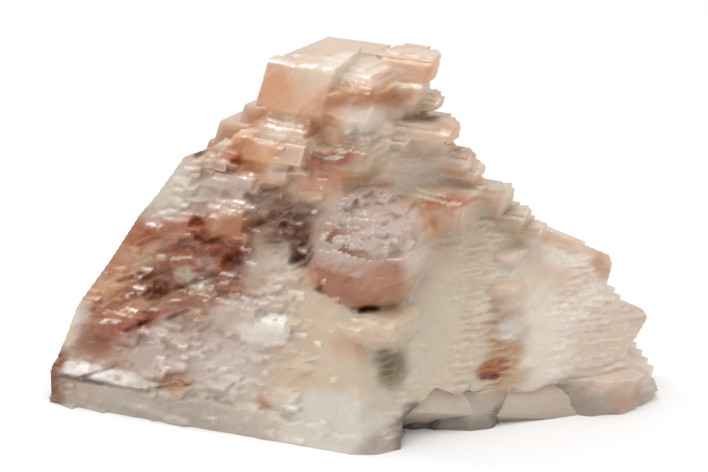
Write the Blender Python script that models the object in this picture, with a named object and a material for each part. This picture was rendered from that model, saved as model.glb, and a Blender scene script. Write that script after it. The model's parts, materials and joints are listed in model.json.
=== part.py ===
"""Calcite cluster: one mass of parallel calcite rhombs that leans back from a flat cut base.

Blender 4.5, metres, +Z up. The near side of the cluster faces -Y.
Lengths below are millimetres, and mm turns them into metres.
"""

import random
from math import cos, pi

import bmesh
import bpy
from mathutils import Matrix, Vector

for oldObject in list(bpy.data.objects):
    bpy.data.objects.remove(oldObject, do_unlink=True)

mm = 0.001

# All crystals share the three edge directions of one calcite rhomb.
# across runs right and toward the viewer, up runs up, away runs back and to the right.
across = Vector((0.794, -0.605, 0.056)).normalized()
up = Vector((0.271, 0.160, 0.950)).normalized()
away = Vector((0.433, 0.900, -0.061)).normalized()

# Base outline: left corner, near corner and right corner, in plan, and the rear of the mass.
leftCorner = (-63, 30.5)
nearCorner = (1, 4.5)
rightCorner = (55, 27.5)
rearDepth = 66
# Top of the near face, where the left and right slopes meet.
peak = (-6, 40, 78)

# Left and right limits of the near face, as places across and up.
leftLimit = [(-63, 0), (-34.5, 49.5), (-21.5, 58.5), (-17, 72)]
rightLimit = [(60, 0), (59, 14), (47, 28), (37, 36), (30, 42), (23, 49), (19, 57), (15, 70)]

# Everything starts this far below the base plane and is cut off at it.
foot = -1.5
groundDepth = 30
groundSide = 300
# The left side is one straight break: two places on its near edge, and the way it runs back.
leftBreak = [(-63.6, 0), (-35.6, 49.5)]
leftBreakBack = (0.3, 1, 0)
breakDepth = 40
growthSeed = 14
# Faces that turn less than this, in radians, count as one flat face.
flatAngle = 0.0005

surfaceColor = (0.70, 0.47, 0.33, 1)
surfaceRoughness = 0.42


def slopeThrough(baseCorner):
    """Depth of the plane through the near corner, a base corner and the peak: a + b x + c z."""
    near = Vector((nearCorner[0], nearCorner[1], 0))
    side = Vector((baseCorner[0], baseCorner[1], 0))
    normal = (side - near).cross(Vector(peak) - near)
    perX = -normal.x / normal.y
    perZ = -normal.z / normal.y
    start = near.y - perX * near.x
    return start, perX, perZ


leftSlope = slopeThrough(leftCorner)
rightSlope = slopeThrough(rightCorner)


def frontDepth(x, z):
    """Depth of the leaning near face at a place across and up."""
    depths = [start + perX * x + perZ * z for start, perX, perZ in (leftSlope, rightSlope)]
    return max(depths)


def onFront(x, z, standOut):
    """A point of the near face, brought forward by standOut."""
    return Vector((x, frontDepth(x, z) - standOut, z))


def addBlock(shape, corner, sides):
    """Add a six-faced block: corner is its near left top, sides run across, down and away."""
    acrossSide, downSide, awaySide = sides
    frame = Matrix((acrossSide, awaySide, -downSide)).transposed().to_4x4()
    frame.translation = corner + (acrossSide + downSide + awaySide) / 2
    return bmesh.ops.create_cube(shape, size=1, matrix=frame)["verts"]


def addRhomb(shape, corner, lengths):
    """Add a rhomb of the shared lattice that hangs from its near left top corner."""
    acrossLength, upLength, awayLength = lengths
    return addBlock(shape, corner, (across * acrossLength, -up * upLength, away * awayLength))


def bevelNearTop(shape, verts, corner, lengths, width):
    """Bevel the near top edge of a rhomb into the narrow strip that catches the light."""
    ends = (corner, corner + across * lengths[0])
    edgeVerts = [vert for vert in verts if min((vert.co - end).length for end in ends) < 0.01]
    edge = [link for link in edgeVerts[0].link_edges if link.other_vert(edgeVerts[0]) == edgeVerts[1]]
    bmesh.ops.bevel(shape, geom=edge, offset=width, segments=1, affect="EDGES")


def addTerraces(shape, corner, lengths, terraces):
    """Plates that climb back over a crystal's top, each a little narrower."""
    acrossLength, upLength, awayLength = lengths
    plates, rise, run = terraces
    for plate in range(1, plates + 1):
        inset = plate * terraceInset
        plateCorner = corner + away * (run * plate) + up * (rise * plate) + across * (acrossLength * inset)
        plateWidth = acrossLength * (1 - terraceNarrowing * inset)
        addRhomb(shape, plateCorner, (plateWidth, rise * plate + terraceRoot, awayLength - run * plate))


def addTooth(shape, corner, lengths, backSteps):
    """A plate-like rhomb whose right end steps back behind its tip."""
    acrossLength, upLength, awayLength = lengths
    for step in range(backSteps):
        back = away * (awayLength - toothLap) * step
        stepCorner = corner + back + (across - up) * (toothSlip * step)
        stepWidth = acrossLength - step * toothShrink
        verts = addRhomb(shape, stepCorner, (stepWidth, upLength, awayLength))
        if step == 0:
            bevelNearTop(shape, verts, corner, lengths, stripWidth)


def addHull(shape, points):
    """Add the convex solid through some points."""
    verts = [shape.verts.new(point) for point in points]
    hull = bmesh.ops.convex_hull(shape, input=verts)
    spare = [item for item in hull["geom_interior"] if isinstance(item, bmesh.types.BMVert)]
    bmesh.ops.delete(shape, geom=spare, context="VERTS")


# Each plate starts this share further in, narrows by this many times the share, and is rooted below.
terraceInset = 0.05
terraceNarrowing = 2.2
terraceRoot = 1.5
stripWidth = 0.9
# Each back step of a tooth is shorter by the first, laps over the last one and slips down.
toothShrink = 3
toothLap = 0.4
toothSlip = 0.35

# Each crystal: name, place across and up of its near left top corner, how far it stands out
# of the near face, its three edge lengths, and the plates on its top as count, rise and run.
frontCrystals = [
    ("summit", (-18.0, 70.5), 4.0, (17.5, 10, 26.5), (2, 1.5, 9)),
    ("secondTier", (-8.5, 66.0), 4.0, (12, 10, 16), (2, 0.8, 2.2)),
    ("secondLedge", (-4.0, 65.0), 5.0, (14, 3, 12), (1, 0.6, 2)),
    ("shoulder", (-22.0, 56.0), 4.0, (15, 7, 16), (4, 1.1, 0.7)),
    ("shoulderFoot", (-25.5, 49.0), 3.0, (18, 4, 12), (1, 0.7, 1.5)),
    ("crestLeft", (-33.0, 50.0), 1.0, (9, 2.5, 12), (1, 0.8, 1)),
    ("crestLeftSmall", (-32.5, 48.5), 1.5, (6.5, 2, 8), (0, 0, 0)),
    ("greyPink", (-32.0, 47.0), 2.0, (14.5, 3, 12), (1, 0.8, 1.5)),
    ("middleLayered", (-9.0, 54.5), 4.0, (17, 7, 14), (2, 0.8, 1.2)),
    ("rightLozenge", (9.0, 44.5), 2.0, (14, 3, 12), (2, 0.8, 1.5)),
    ("rightPatch", (10.5, 42.5), 2.0, (7, 5, 8), (0, 0, 0)),
    ("leftBig", (-31.5, 41.0), 4.0, (10.5, 6, 16), (4, 1.2, 1)),
    ("leftFlat", (-44.5, 37.5), 3.0, (13.5, 3, 14), (2, 1, 1.2)),
    ("centralFoot", (-4.5, 24.0), 3.0, (14, 3, 12), (2, 0.8, 1.5)),
    ("glintOne", (27.5, 32.5), 1.0, (5, 2, 8), (0, 0, 0)),
    ("glintTwo", (25.5, 27.0), 1.0, (7, 2.5, 8), (0, 0, 0)),
    ("redLens", (-41.0, 24.0), 3.0, (14, 4, 16), (3, 0.9, 1.8)),
    ("redLow", (-54.0, 18.0), 3.0, (12, 5, 14), (2, 1, 1.5)),
    ("clearBlock", (-43.0, 17.5), 2.5, (5.5, 3.5, 8), (0, 0, 0)),
    ("frostedLeft", (-49.5, 13.5), 2.5, (13, 7, 12), (1, 0.8, 1.5)),
    ("frostedBig", (-32.0, 23.5), 3.0, (14, 8, 16), (2, 0.9, 1.5)),
    ("whitePatch", (-23.5, 22.0), 3.0, (11, 5, 12), (0, 0, 0)),
    ("sparkle", (-22.5, 25.5), 3.0, (10, 3.5, 12), (2, 0.8, 1.2)),
]

# The large rounded crystal in the middle: a bevelled block under a dome of plates.
centralPlace = (-9, 38.5)
centralStandOut = 6.5
centralLengths = (20, 11, 18)
centralRound = 2.6
centralPlates = [(0.4, 1.6, 19), (1.2, 3.4, 17.5), (2.0, 5.3, 15.5), (2.8, 7.2, 13), (3.4, 9.0, 9.5)]
centralPlateLean = 0.6
centralPlateRoot = 3

# Teeth of the right edge, from the summit down: name, place, stand-out, edge lengths, back steps.
rightTeeth = [
    ("summitArm", (4.5, 71.5), 1.0, (13, 7, 4.5), 4),
    ("ladderOne", (8.5, 63.5), 1.0, (9, 4, 4), 4),
    ("ladderTwo", (7.5, 58.5), 3.0, (11, 4.5, 5), 4),
    ("ladderTwoSmall", (6.0, 56.5), 2.0, (5, 2, 4), 1),
    ("ladderThree", (14.5, 52.5), 1.0, (9.5, 3.5, 4), 3),
    ("ladderFour", (16.5, 50.0), 1.0, (9, 3, 4), 3),
    ("ladderFive", (23.0, 45.0), 1.0, (8.5, 5, 4), 3),
    ("ladderSix", (27.5, 40.5), 1.0, (7.5, 3, 4), 3),
    ("ladderSeven", (31.0, 37.5), 1.0, (7, 3, 4), 3),
    ("toothOne", (38.0, 34.0), 1.0, (13.5, 5, 4), 4),
    ("toothOneLow", (42.0, 27.5), 1.0, (8.5, 6, 4.5), 3),
    ("toothTwo", (46.5, 22.5), 1.0, (12.5, 11, 4), 4),
    ("toothThree", (52.0, 11.0), 1.0, (11.5, 11, 4), 4),
    ("paleBlock", (51.0, 6.5), 3.0, (6, 4, 5), 1),
]

# Broken blocks at the foot of the right slope, as their outlines on the ground.
footBlocks = [
    [(16.3, 17.0), (25.7, 16.2), (30.0, 24.5), (21.0, 27.0)],
    [(31.0, 26.5), (36.0, 24.2), (47.0, 23.0), (53.0, 23.8), (56.0, 26.2), (50.0, 36.0), (33.0, 36.0)],
]
footBlockHeight = 7.5
# Broken band along the foot of the left slope: low at the near corner, high at the left corner.
footBand = [(-65, 31.0, foot), (0.4, 4.5, foot), (-62, 40, foot), (-2, 14, foot),
            (-63, 31.6, 7.5), (-34, 20.4, 5.5), (-6, 8.9, 2.5), (-60, 40, 7.5), (-10, 16, 3)]

# Small crystals between the named ones: how many, then ranges of width, height and stand-out.
# The smallest are the most common: drift is the power that weighs the random sizes down.
leftGrowth = {"count": 170, "heights": (7, 57), "width": (3, 12), "height": (1.8, 5),
              "depth": 10, "standOut": (0.2, 2.0), "start": -3, "drift": 1.6, "leftward": 1.3}
# Long thin ledges of the right slope, which run along it and not along the crystal edges.
rightGrowth = {"count": 120, "heights": (8, 62), "width": (6, 20), "height": (1.2, 2.4),
               "depth": 8, "standOut": (0.0, 0.7), "margin": 3}
# The right slope swells into soft upright ridges this high and this far apart.
ridgeHeight = 1.1
ridgeSpacing = 28
ridgeStart = 17
rearGrowth = {"rows": (4, 52), "rowHeight": 8, "width": (8, 17), "height": (5, 12),
              "depth": 16, "standOut": (-1, 2.0), "gap": 0.9, "start": 9, "end": -8}
rearLean = 0.12
rearTaper = 0.10


def growNamedCrystals(shape):
    """The crystals that can be told apart from a step away."""
    for name, place, standOut, lengths, terraces in frontCrystals:
        corner = onFront(place[0], place[1], standOut)
        verts = addRhomb(shape, corner, lengths)
        bevelNearTop(shape, verts, corner, lengths, stripWidth)
        addTerraces(shape, corner, lengths, terraces)
    for name, place, standOut, lengths, backSteps in rightTeeth:
        addTooth(shape, onFront(place[0], place[1], standOut), lengths, backSteps)


def growCentralCrystal(shape):
    """The rounded middle crystal; each plate is given as its inset, rise and width."""
    corner = onFront(centralPlace[0], centralPlace[1], centralStandOut)
    verts = addRhomb(shape, corner, centralLengths)
    edges = {link for vert in verts for link in vert.link_edges}
    bmesh.ops.bevel(shape, geom=list(edges), offset=centralRound, segments=1, affect="EDGES")
    for inset, rise, width in centralPlates:
        plateCorner = corner + across * inset + up * rise + away * (inset + centralPlateLean * rise)
        addRhomb(shape, plateCorner, (width, rise + centralPlateRoot, centralLengths[2]))


def growFootBlocks(shape):
    """Cleaved blocks that the right slope overhangs."""
    for outline in footBlocks:
        low = [Vector((x, y, foot)) for x, y in outline]
        top = [point + up * (footBlockHeight - foot) for point in low]
        addHull(shape, low + top)
    addHull(shape, [Vector(point) for point in footBand])


def between(limits, z):
    """Place across on a limit line at a height."""
    for (lowX, lowZ), (highX, highZ) in zip(limits, limits[1:]):
        if z <= highZ:
            share = max(0, (z - lowZ) / (highZ - lowZ))
            return lowX + share * (highX - lowX)
    return limits[-1][0]


def ridgePlace(z):
    """Where the left and right slopes meet, across."""
    share = z / peak[2]
    return nearCorner[0] + share * (peak[0] - nearCorner[0])


def rowHeights(growth):
    """Heights of a growth's rows, from the lowest up."""
    low, high = growth["rows"]
    count = int((high - low) / growth["rowHeight"])
    return [low + growth["rowHeight"] * row for row in range(count + 1)]


def growLeftSlope(shape):
    """Small rhombs of many sizes over the left slope."""
    for crystal in range(leftGrowth["count"]):
        z = random.uniform(*leftGrowth["heights"])
        shortest, longest = leftGrowth["width"]
        length = shortest + random.random() ** leftGrowth["drift"] * (longest - shortest)
        startX = between(leftLimit, z) + leftGrowth["start"]
        endX = ridgePlace(z) - length * across.x
        x = startX + random.random() ** leftGrowth["leftward"] * (endX - startX)
        corner = onFront(x, z, random.uniform(*leftGrowth["standOut"]))
        height = random.uniform(*leftGrowth["height"])
        addRhomb(shape, corner, (length, height, leftGrowth["depth"]))


def growRightSlope(shape):
    """Thin ledges along the right slope, which swells into soft upright ridges."""
    start, perX, perZ = rightSlope
    slopeNormal = Vector((perX, -1, perZ))
    along = slopeNormal.cross(across.cross(away)).normalized()
    along *= 1 if along.x > 0 else -1
    for ledge in range(rightGrowth["count"]):
        z = random.uniform(*rightGrowth["heights"])
        length = random.uniform(*rightGrowth["width"])
        startX = ridgePlace(z)
        endX = max(startX, between(rightLimit, z) - rightGrowth["margin"] - length)
        x = random.uniform(startX, endX)
        swell = ridgeHeight * cos(2 * pi * (x + length / 2 - ridgeStart) / ridgeSpacing)
        corner = onFront(x, z, random.uniform(*rightGrowth["standOut"]) + swell)
        height = random.uniform(*rightGrowth["height"])
        addBlock(shape, corner, (along * length, -up * height, away * rightGrowth["depth"]))


def growRear(shape):
    """Broad cleavage blocks on the back."""
    for z in rowHeights(rearGrowth):
        x = between(leftLimit, z) + rearGrowth["start"]
        while x < between(rightLimit, z) + rearGrowth["end"]:
            width = random.uniform(*rearGrowth["width"])
            height = random.uniform(*rearGrowth["height"])
            standOut = random.uniform(*rearGrowth["standOut"])
            far = Vector((x, rearDepth - rearLean * z - rearTaper * abs(x) + standOut, z))
            corner = far - away * rearGrowth["depth"] - across * (width / 2)
            addRhomb(shape, corner, (width, height, rearGrowth["depth"]))
            x += width * across.x * rearGrowth["gap"]


def hullThrough(points):
    """The closed convex solid through some points."""
    shape = bmesh.new()
    for point in points:
        shape.verts.new(point)
    hull = bmesh.ops.convex_hull(shape, input=shape.verts)
    spare = [item for item in hull["geom_interior"] if isinstance(item, bmesh.types.BMVert)]
    bmesh.ops.delete(shape, geom=spare, context="VERTS")
    bmesh.ops.recalc_face_normals(shape, faces=shape.faces)
    return shape


def makeCore():
    """Mass behind the crystals: left part down to the near corner, with a steep back."""
    return hullThrough([
        (-65, 32, foot), (-34, 22.5, foot), (-22, 16.5, foot), (-4, 6.5, foot), (3, 7, foot),
        (8, 18.5, foot), (30, 61, foot), (6, rearDepth, foot), (-50, 60, foot),
        (-37, 41.3, 48.5), (-34, 56, 44), (-19, 42, 60), (-15, 57, 60), (-8, 41, 66),
        (4, 43, 66), (6, 58, 66), (14, 46, 62), (14, 56, 58),
    ])


def makeRightCore():
    """Right part of the mass; its base is set back, so that the slope overhangs it."""
    return hullThrough([
        (9, 19.4, foot), (47, 24.5, foot), (54, 27, foot), (4.3, 9.5, 7), (52, 30, 7),
        (7, 62.3, foot), (48, 57, foot), (54, 38, 5), (10, 45.2, 62.4), (10, 55.7, 58.6),
        (0, 44.3, 65.5), (0.4, 55.6, 65), (19, 43, 46), (31, 42, 35), (43, 41, 23),
        (23, 58, 38), (46, 54, 14),
    ])


def objectFrom(shape, name, group):
    """An object from a shape in millimetres."""
    bmesh.ops.scale(shape, vec=(mm, mm, mm), verts=shape.verts)
    mesh = bpy.data.meshes.new(name)
    shape.to_mesh(mesh)
    shape.free()
    made = bpy.data.objects.new(name, mesh)
    group.objects.link(made)
    return made


def makeGround():
    """A block below the base plane, which cuts the cluster off flat."""
    shape = bmesh.new()
    frame = Matrix.Diagonal((groundSide, groundSide, groundDepth, 1))
    frame.translation = (0, rearDepth / 2, -groundDepth / 2)
    bmesh.ops.create_cube(shape, size=1, matrix=frame)
    return shape


def makeLeftBreak():
    """A block beyond the left break, which cuts the left side off straight."""
    low, high = [onFront(x, z, 0) for x, z in leftBreak]
    along = (high - low).normalized()
    back = Vector(leftBreakBack).normalized()
    outward = along.cross(back).normalized()
    upright = back.cross(outward)
    frame = Matrix((outward, back, upright)).transposed().to_4x4()
    frame.translation = low + outward * (breakDepth / 2)
    shape = bmesh.new()
    size = Matrix.Diagonal((breakDepth, groundSide, groundSide, 1))
    bmesh.ops.create_cube(shape, size=1, matrix=frame @ size)
    return shape


def stoneMaterial():
    """Milky calcite stained by iron."""
    material = bpy.data.materials.new("calcite")
    material.use_nodes = True
    surface = material.node_tree.nodes["Principled BSDF"]
    surface.inputs["Base Color"].default_value = surfaceColor
    surface.inputs["Roughness"].default_value = surfaceRoughness
    surface.inputs["Metallic"].default_value = 0
    material.diffuse_color = surfaceColor
    return material


def shellOf(start):
    """All vertices that hang together with one vertex."""
    found = {start}
    edge = [start]
    while edge:
        vert = edge.pop()
        for link in vert.link_edges:
            other = link.other_vert(vert)
            if other not in found:
                found.add(other)
                edge.append(other)
    return found


def shellsOf(shape):
    """The separate shells of a shape, largest first."""
    shells = []
    left = set(shape.verts)
    while left:
        shell = shellOf(next(iter(left)))
        shells.append(shell)
        left -= shell
    return sorted(shells, key=len, reverse=True)


def makeCutters(shape, name):
    """One helper object for each shell of a shape, in a collection of their own."""
    cutters = bpy.data.collections.new(name)
    bpy.context.scene.collection.children.link(cutters)
    for number, shell in enumerate(shellsOf(shape)):
        single = bmesh.new()
        copies = {vert: single.verts.new(vert.co) for vert in shell}
        faces = {face for vert in shell for face in vert.link_faces}
        for face in faces:
            single.faces.new([copies[vert] for vert in face.verts])
        bmesh.ops.recalc_face_normals(single, faces=single.faces)
        helper = objectFrom(single, f"{name}_{number}", cutters)
        helper.hide_render = True
        helper.display_type = "WIRE"
    return cutters


def addBoolean(target, operation, cutters):
    """Combine helpers into the target. The exact solver leaves open edges on so many shells."""
    step = target.modifiers.new(cutters.name, "BOOLEAN")
    step.operation = operation
    step.solver = "MANIFOLD"
    step.operand_type = "COLLECTION"
    step.collection = cutters


def closePockets(shape):
    """Drop the sealed pockets left between crystals, so that the mass is solid inside."""
    for shell in shellsOf(shape)[1:]:
        bmesh.ops.delete(shape, geom=list(shell), context="VERTS")


def fuse(cluster, helperGroups):
    """Make the modifiers' result the cluster's own mesh, then drop the helpers."""
    depsgraph = bpy.context.evaluated_depsgraph_get()
    fused = bpy.data.meshes.new_from_object(cluster.evaluated_get(depsgraph))
    cluster.modifiers.clear()
    shape = bmesh.new()
    shape.from_mesh(fused)
    closePockets(shape)
    bmesh.ops.dissolve_limit(shape, angle_limit=flatAngle, verts=shape.verts, edges=shape.edges)
    bmesh.ops.triangulate(shape, faces=shape.faces)
    shape.to_mesh(cluster.data)
    shape.free()
    for cutters in helperGroups:
        for helper in list(cutters.objects):
            bpy.data.objects.remove(helper, do_unlink=True)
        bpy.data.collections.remove(cutters)


def centreOnOrigin(cluster):
    """Put the middle of the bounding box's underside on the origin."""
    places = [vert.co for vert in cluster.data.vertices]
    middle = [(min(place[axis] for place in places) + max(place[axis] for place in places)) / 2
              for axis in (0, 1)]
    cluster.data.transform(Matrix.Translation((-middle[0], -middle[1], 0)))


random.seed(growthSeed)
crystalShape = makeRightCore()
growNamedCrystals(crystalShape)
growCentralCrystal(crystalShape)
growFootBlocks(crystalShape)
growLeftSlope(crystalShape)
growRightSlope(crystalShape)
growRear(crystalShape)

cluster = objectFrom(makeCore(), "calcite_cluster", bpy.context.scene.collection)
crystals = makeCutters(crystalShape, "crystals")
ground = makeCutters(makeGround(), "ground")
beyondBreak = makeCutters(makeLeftBreak(), "beyondBreak")
addBoolean(cluster, "UNION", crystals)
addBoolean(cluster, "DIFFERENCE", ground)
addBoolean(cluster, "DIFFERENCE", beyondBreak)
fuse(cluster, (crystals, ground, beyondBreak))
centreOnOrigin(cluster)
cluster.data.materials.append(stoneMaterial())
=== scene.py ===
# Calcite cluster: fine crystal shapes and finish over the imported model
import json
import random
from math import cos, radians, sin

import bpy
import numpy as np
from mathutils import Matrix, Vector

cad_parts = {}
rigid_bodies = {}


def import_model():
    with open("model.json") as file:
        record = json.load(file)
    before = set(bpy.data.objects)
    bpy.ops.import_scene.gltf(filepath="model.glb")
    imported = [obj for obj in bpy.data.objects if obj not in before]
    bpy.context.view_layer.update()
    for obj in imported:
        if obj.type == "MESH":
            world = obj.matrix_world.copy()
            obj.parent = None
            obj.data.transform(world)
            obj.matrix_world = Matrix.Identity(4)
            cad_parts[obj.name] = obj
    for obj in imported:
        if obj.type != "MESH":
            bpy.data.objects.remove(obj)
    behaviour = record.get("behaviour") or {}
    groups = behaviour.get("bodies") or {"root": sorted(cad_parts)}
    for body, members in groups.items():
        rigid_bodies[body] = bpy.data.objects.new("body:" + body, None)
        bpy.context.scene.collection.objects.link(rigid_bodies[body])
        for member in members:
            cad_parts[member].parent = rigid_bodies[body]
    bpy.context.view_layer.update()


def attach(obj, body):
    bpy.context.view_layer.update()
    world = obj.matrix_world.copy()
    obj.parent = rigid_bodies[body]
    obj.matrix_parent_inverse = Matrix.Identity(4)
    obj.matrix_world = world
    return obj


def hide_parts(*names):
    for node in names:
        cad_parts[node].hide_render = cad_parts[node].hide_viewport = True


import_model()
mm = 0.001

# crystal edge directions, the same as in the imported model
across = Vector((0.794, -0.605, 0.056)).normalized()
up = Vector((0.271, 0.160, 0.950)).normalized()
away = Vector((0.433, 0.900, -0.061)).normalized()
lattice = (across, away, up)

# places below are millimetres in the specimen's own frame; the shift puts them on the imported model
specimen = {
    "shift": Vector((0.38, -37.15, 0)),
    "leftCorner": (-63, 30.5), "nearCorner": (1, 4.5), "rightCorner": (55, 27.5),
    "peak": (-6, 40, 78), "rearDepth": 65,
    "leftLimit": [(-63, 0), (-34.5, 49.5), (-21.5, 58.5), (-17, 72)],
    "leftBreak": [(-63.9, 0), (-39.5, 49.5)], "breakBack": Vector((0.3, 1, 0)),
    "growthLimit": [(-13, 0), (-14, 30), (-15, 44), (-4, 58), (-5, 70)],
    "foot": -1.5, "seed": 4, "rise": 20, "front": 4.9,
}
placeShift = np.array(specimen["shift"][:])
cameraRise = radians(specimen["rise"])
viewIn = Vector((0, cos(cameraRise), -sin(cameraRise)))
viewUp = Vector((0, sin(cameraRise), cos(cameraRise)))


# a point of the view, given by its place across, its place up and its depth
def inView(x, t, depth):
    return Vector((x, 0, 0)) + viewUp * t + viewIn * depth


def heightAt(t, depth):
    return t * viewUp.z + depth * viewIn.z


# the near face is two leaning slopes that meet in a ridge
def slopeThrough(baseCorner):
    near = Vector((*specimen["nearCorner"], 0))
    side = Vector((*baseCorner, 0))
    normal = (side - near).cross(Vector(specimen["peak"]) - near)
    perX, perZ = -normal.x / normal.y, -normal.z / normal.y
    return near.y - perX * near.x, perX, perZ


leftSlope = slopeThrough(specimen["leftCorner"])
rightSlope = slopeThrough(specimen["rightCorner"])


def frontDepth(x, z):
    depths = [start + perX * x + perZ * z for start, perX, perZ in (leftSlope, rightSlope)]
    return np.maximum(*depths)


def onFront(x, z, standOut):
    return Vector((x, float(frontDepth(x, z)) - standOut, z))


def between(limits, z):
    for (lowX, lowZ), (highX, highZ) in zip(limits, limits[1:]):
        if z <= highZ:
            share = max(0, (z - lowZ) / (highZ - lowZ))
            return lowX + share * (highX - lowX)
    return limits[-1][0]


def ridgePlace(z):
    share = z / specimen["peak"][2]
    return specimen["nearCorner"][0] + share * (specimen["peak"][0] - specimen["nearCorner"][0])


# colours by name, as red, green and blue out of 255
palette = {
    "milk": (226, 219, 208), "cream": (211, 200, 185), "ivory": (220, 205, 184), "tan": (197, 170, 144),
    "blush": (203, 182, 171), "shell": (222, 198, 174), "glass": (228, 211, 196), "peach": (219, 176, 142),
    "orange": (205, 135, 96), "golden": (205, 163, 122), "rust": (168, 96, 66), "brown": (138, 94, 72),
    # the darkest red-brown is painted shade for the hollows and crevices
    "hollowShade": (108, 54, 32), "smoky": (150, 127, 112), "olive": (150, 134, 108), "grey": (176, 166, 155),
    # the darker grey is grey calcite darkened with painted shade of the undersides at the foot
    "undersideShadeGrey": (120, 107, 93), "lilac": (176, 152, 146), "white": (250, 245, 240),
    "apricot": (222, 176, 138), "sienna": (184, 118, 80), "umber": (150, 94, 62), "cocoa": (112, 56, 34),
    "ash": (160, 150, 138), "slate": (104, 94, 82), "pale": (243, 234, 222), "stone": (204, 190, 176),
    "honey": (216, 158, 116), "amber": (190, 122, 80), "taupe": (141, 103, 84),
}
# share of the light that these colours give back
albedo = 0.86


# a named colour as linear light
def tint(name):
    colour = np.array(palette[name]) / 255
    return np.where(colour <= 0.04045, colour / 12.92, ((colour + 0.055) / 1.055) ** 2.4) * albedo


# colour zones of the near face: place, reach across and up, body, stain, how stained, how frosted
zones = [
    (0, 64, 24, 17, "shell", "apricot", 0.8, 0.1), (-14, 54, 14, 9, "shell", "orange", 0.7, 0.1),
    (-26, 46, 12, 6, "tan", "sienna", 0.7, 0.2), (-39, 43.9, 6.5, 7, "milk", "tan", 0.3, 0.3),
    (-46, 35, 7, 4, "sienna", "rust", 0.7, 0.3), (-28, 36, 11, 5, "tan", "rust", 0.8, 0.3),
    (-31.6, 30.3, 11, 7, "sienna", "cocoa", 0.95, 0.5), (-50.4, 23.8, 8, 7, "golden", "sienna", 0.9, 0.3),
    (-38, 21, 11, 4.5, "sienna", "umber", 0.9, 0.4), (-51.3, 15.3, 8, 7, "sienna", "umber", 0.95, 0.3),
    (-31, 15, 14, 8.5, "blush", "tan", 0.4, 0.8), (-24, 12, 9, 5, "milk", "blush", 0.3, 0.8),
    (-45, 3, 24, 4.2, "stone", "ash", 0.5, 0.5), (-53, 7.6, 9, 0.8, "white", "blush", 0.2, 0.6),
    (-53, 6.1, 9, 0.6, "slate", "slate", 0.9, 0.4), (-40, 2.2, 7, 1.5, "milk", "grey", 0.4, 0.6),
    (-26, 2.5, 6, 1.2, "cream", "ash", 0.5, 0.6), (-62.6, 5.4, 2.8, 5, "umber", "cocoa", 0.6, 0.5),
    (-60, 17, 2.5, 5, "milk", "apricot", 0.6, 0.2), (-54.5, 27, 3, 5, "shell", "sienna", 0.7, 0.2),
    (-36.6, 8, 3.2, 1.6, "tan", "rust", 0.9, 0.9), (-18.5, 7.3, 1.6, 1.4, "orange", "rust", 1, 0.7),
    (-13.2, 10.9, 1.3, 1.4, "tan", "umber", 1, 0.5), (-10, 16, 10, 14, "ivory", "golden", 0.35, 0.3),
    (-6, 5, 12, 5, "milk", "cream", 0.3, 0.4), (-13.4, 40.1, 7, 6, "smoky", "umber", 0.7, 0.1),
    # zones stained with the darkest red-brown sit in the hollows: painted shade in a red-brown tone
    (-10.5, 35.6, 2.2, 2.8, "smoky", "hollowShade", 0.9, 0.1), (-25.1, 32.1, 4, 3.2, "rust", "hollowShade", 0.8, 0.5),
    (-39.9, 25.3, 4.2, 3, "umber", "hollowShade", 1, 0.5), (-33, 27, 3, 2, "cream", "tan", 0.5, 0.5),
    (0.4, 27, 2.4, 1.2, "umber", "hollowShade", 1, 0.2), (1.4, 45.5, 5, 4, "tan", "sienna", 0.6, 0.2),
    (14, 36, 6, 4.5, "shell", "orange", 0.6, 0.3), (22.2, 22, 20, 16, "ivory", "tan", 0.3, 0.3),
    (12, 20, 9, 12, "ivory", "cream", 0.4, 0.35), (40, 20, 12, 14, "pale", "ivory", 0.5, 0.3),
    (29.3, 14, 4, 8, "tan", "golden", 0.8, 0.35), (30.5, 17.5, 3, 2.2, "milk", "cream", 0.2, 0.5),
    (26.6, 11.2, 3, 1.6, "amber", "umber", 0.8, 0.4), (6.6, 15, 3, 3, "olive", "olive", 0.5, 0.3),
    # the darker grey zones at the foot paint shade on the broken undersides over their grey colour
    (30, 0, 26, 6.5, "stone", "undersideShadeGrey", 0.5, 0.2), (11.5, 3, 4, 4, "undersideShadeGrey", "slate", 0.8, 0.2),
    (34, 1.5, 7, 2.5, "undersideShadeGrey", "slate", 0.6, 0.2), (46, 5, 8, 2.5, "grey", "undersideShadeGrey", 0.4, 0.3),
    (22, 5, 5, 2, "stone", "grey", 0.4, 0.3), (54.5, 3.5, 3.5, 3, "stone", "amber", 0.5, 0.4),
    (52, 12, 9, 9, "glass", "apricot", 0.25, 0.2), (44, 31, 9, 7, "glass", "apricot", 0.3, 0.2),
]
zoneEdge = {"wobble": 0.55, "grain": 4.2, "soft": 0.5, "limit": 2}


# soft random clouds over a plane, the same on every run
cloudStyle = {"layers": 3, "cells": 64, "offset": (640.3, 640.7)}
cloudSeeds = {"zoneStep": 10, "broadForms": 500, "smallForms": 520, "band": 560, "warpAcross": 600,
              "warpUp": 620, "surface": 640, "crevices": 660, "strips": 680, "foot": 700, "patches": 720}


def cloud(x, z, scale, seed):
    total, weight, cells = 0.0, 0.0, cloudStyle["cells"]
    offsetU, offsetV = cloudStyle["offset"]
    for layer in range(cloudStyle["layers"]):
        table = np.random.default_rng(seed + layer).random((cells, cells))
        u, v = x / scale * 2 ** layer + offsetU, z / scale * 2 ** layer + offsetV
        i, j = np.floor(u).astype(int), np.floor(v).astype(int)
        fu, fv = u - i, v - j
        fu, fv = fu * fu * (3 - 2 * fu), fv * fv * (3 - 2 * fv)
        low = table[i % cells, j % cells] * (1 - fu) + table[(i + 1) % cells, j % cells] * fu
        high = table[i % cells, (j + 1) % cells] * (1 - fu) + table[(i + 1) % cells, (j + 1) % cells] * fu
        total = total + (low * (1 - fv) + high * fv) * 0.5 ** layer
        weight += 0.5 ** layer
    return total / weight


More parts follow.
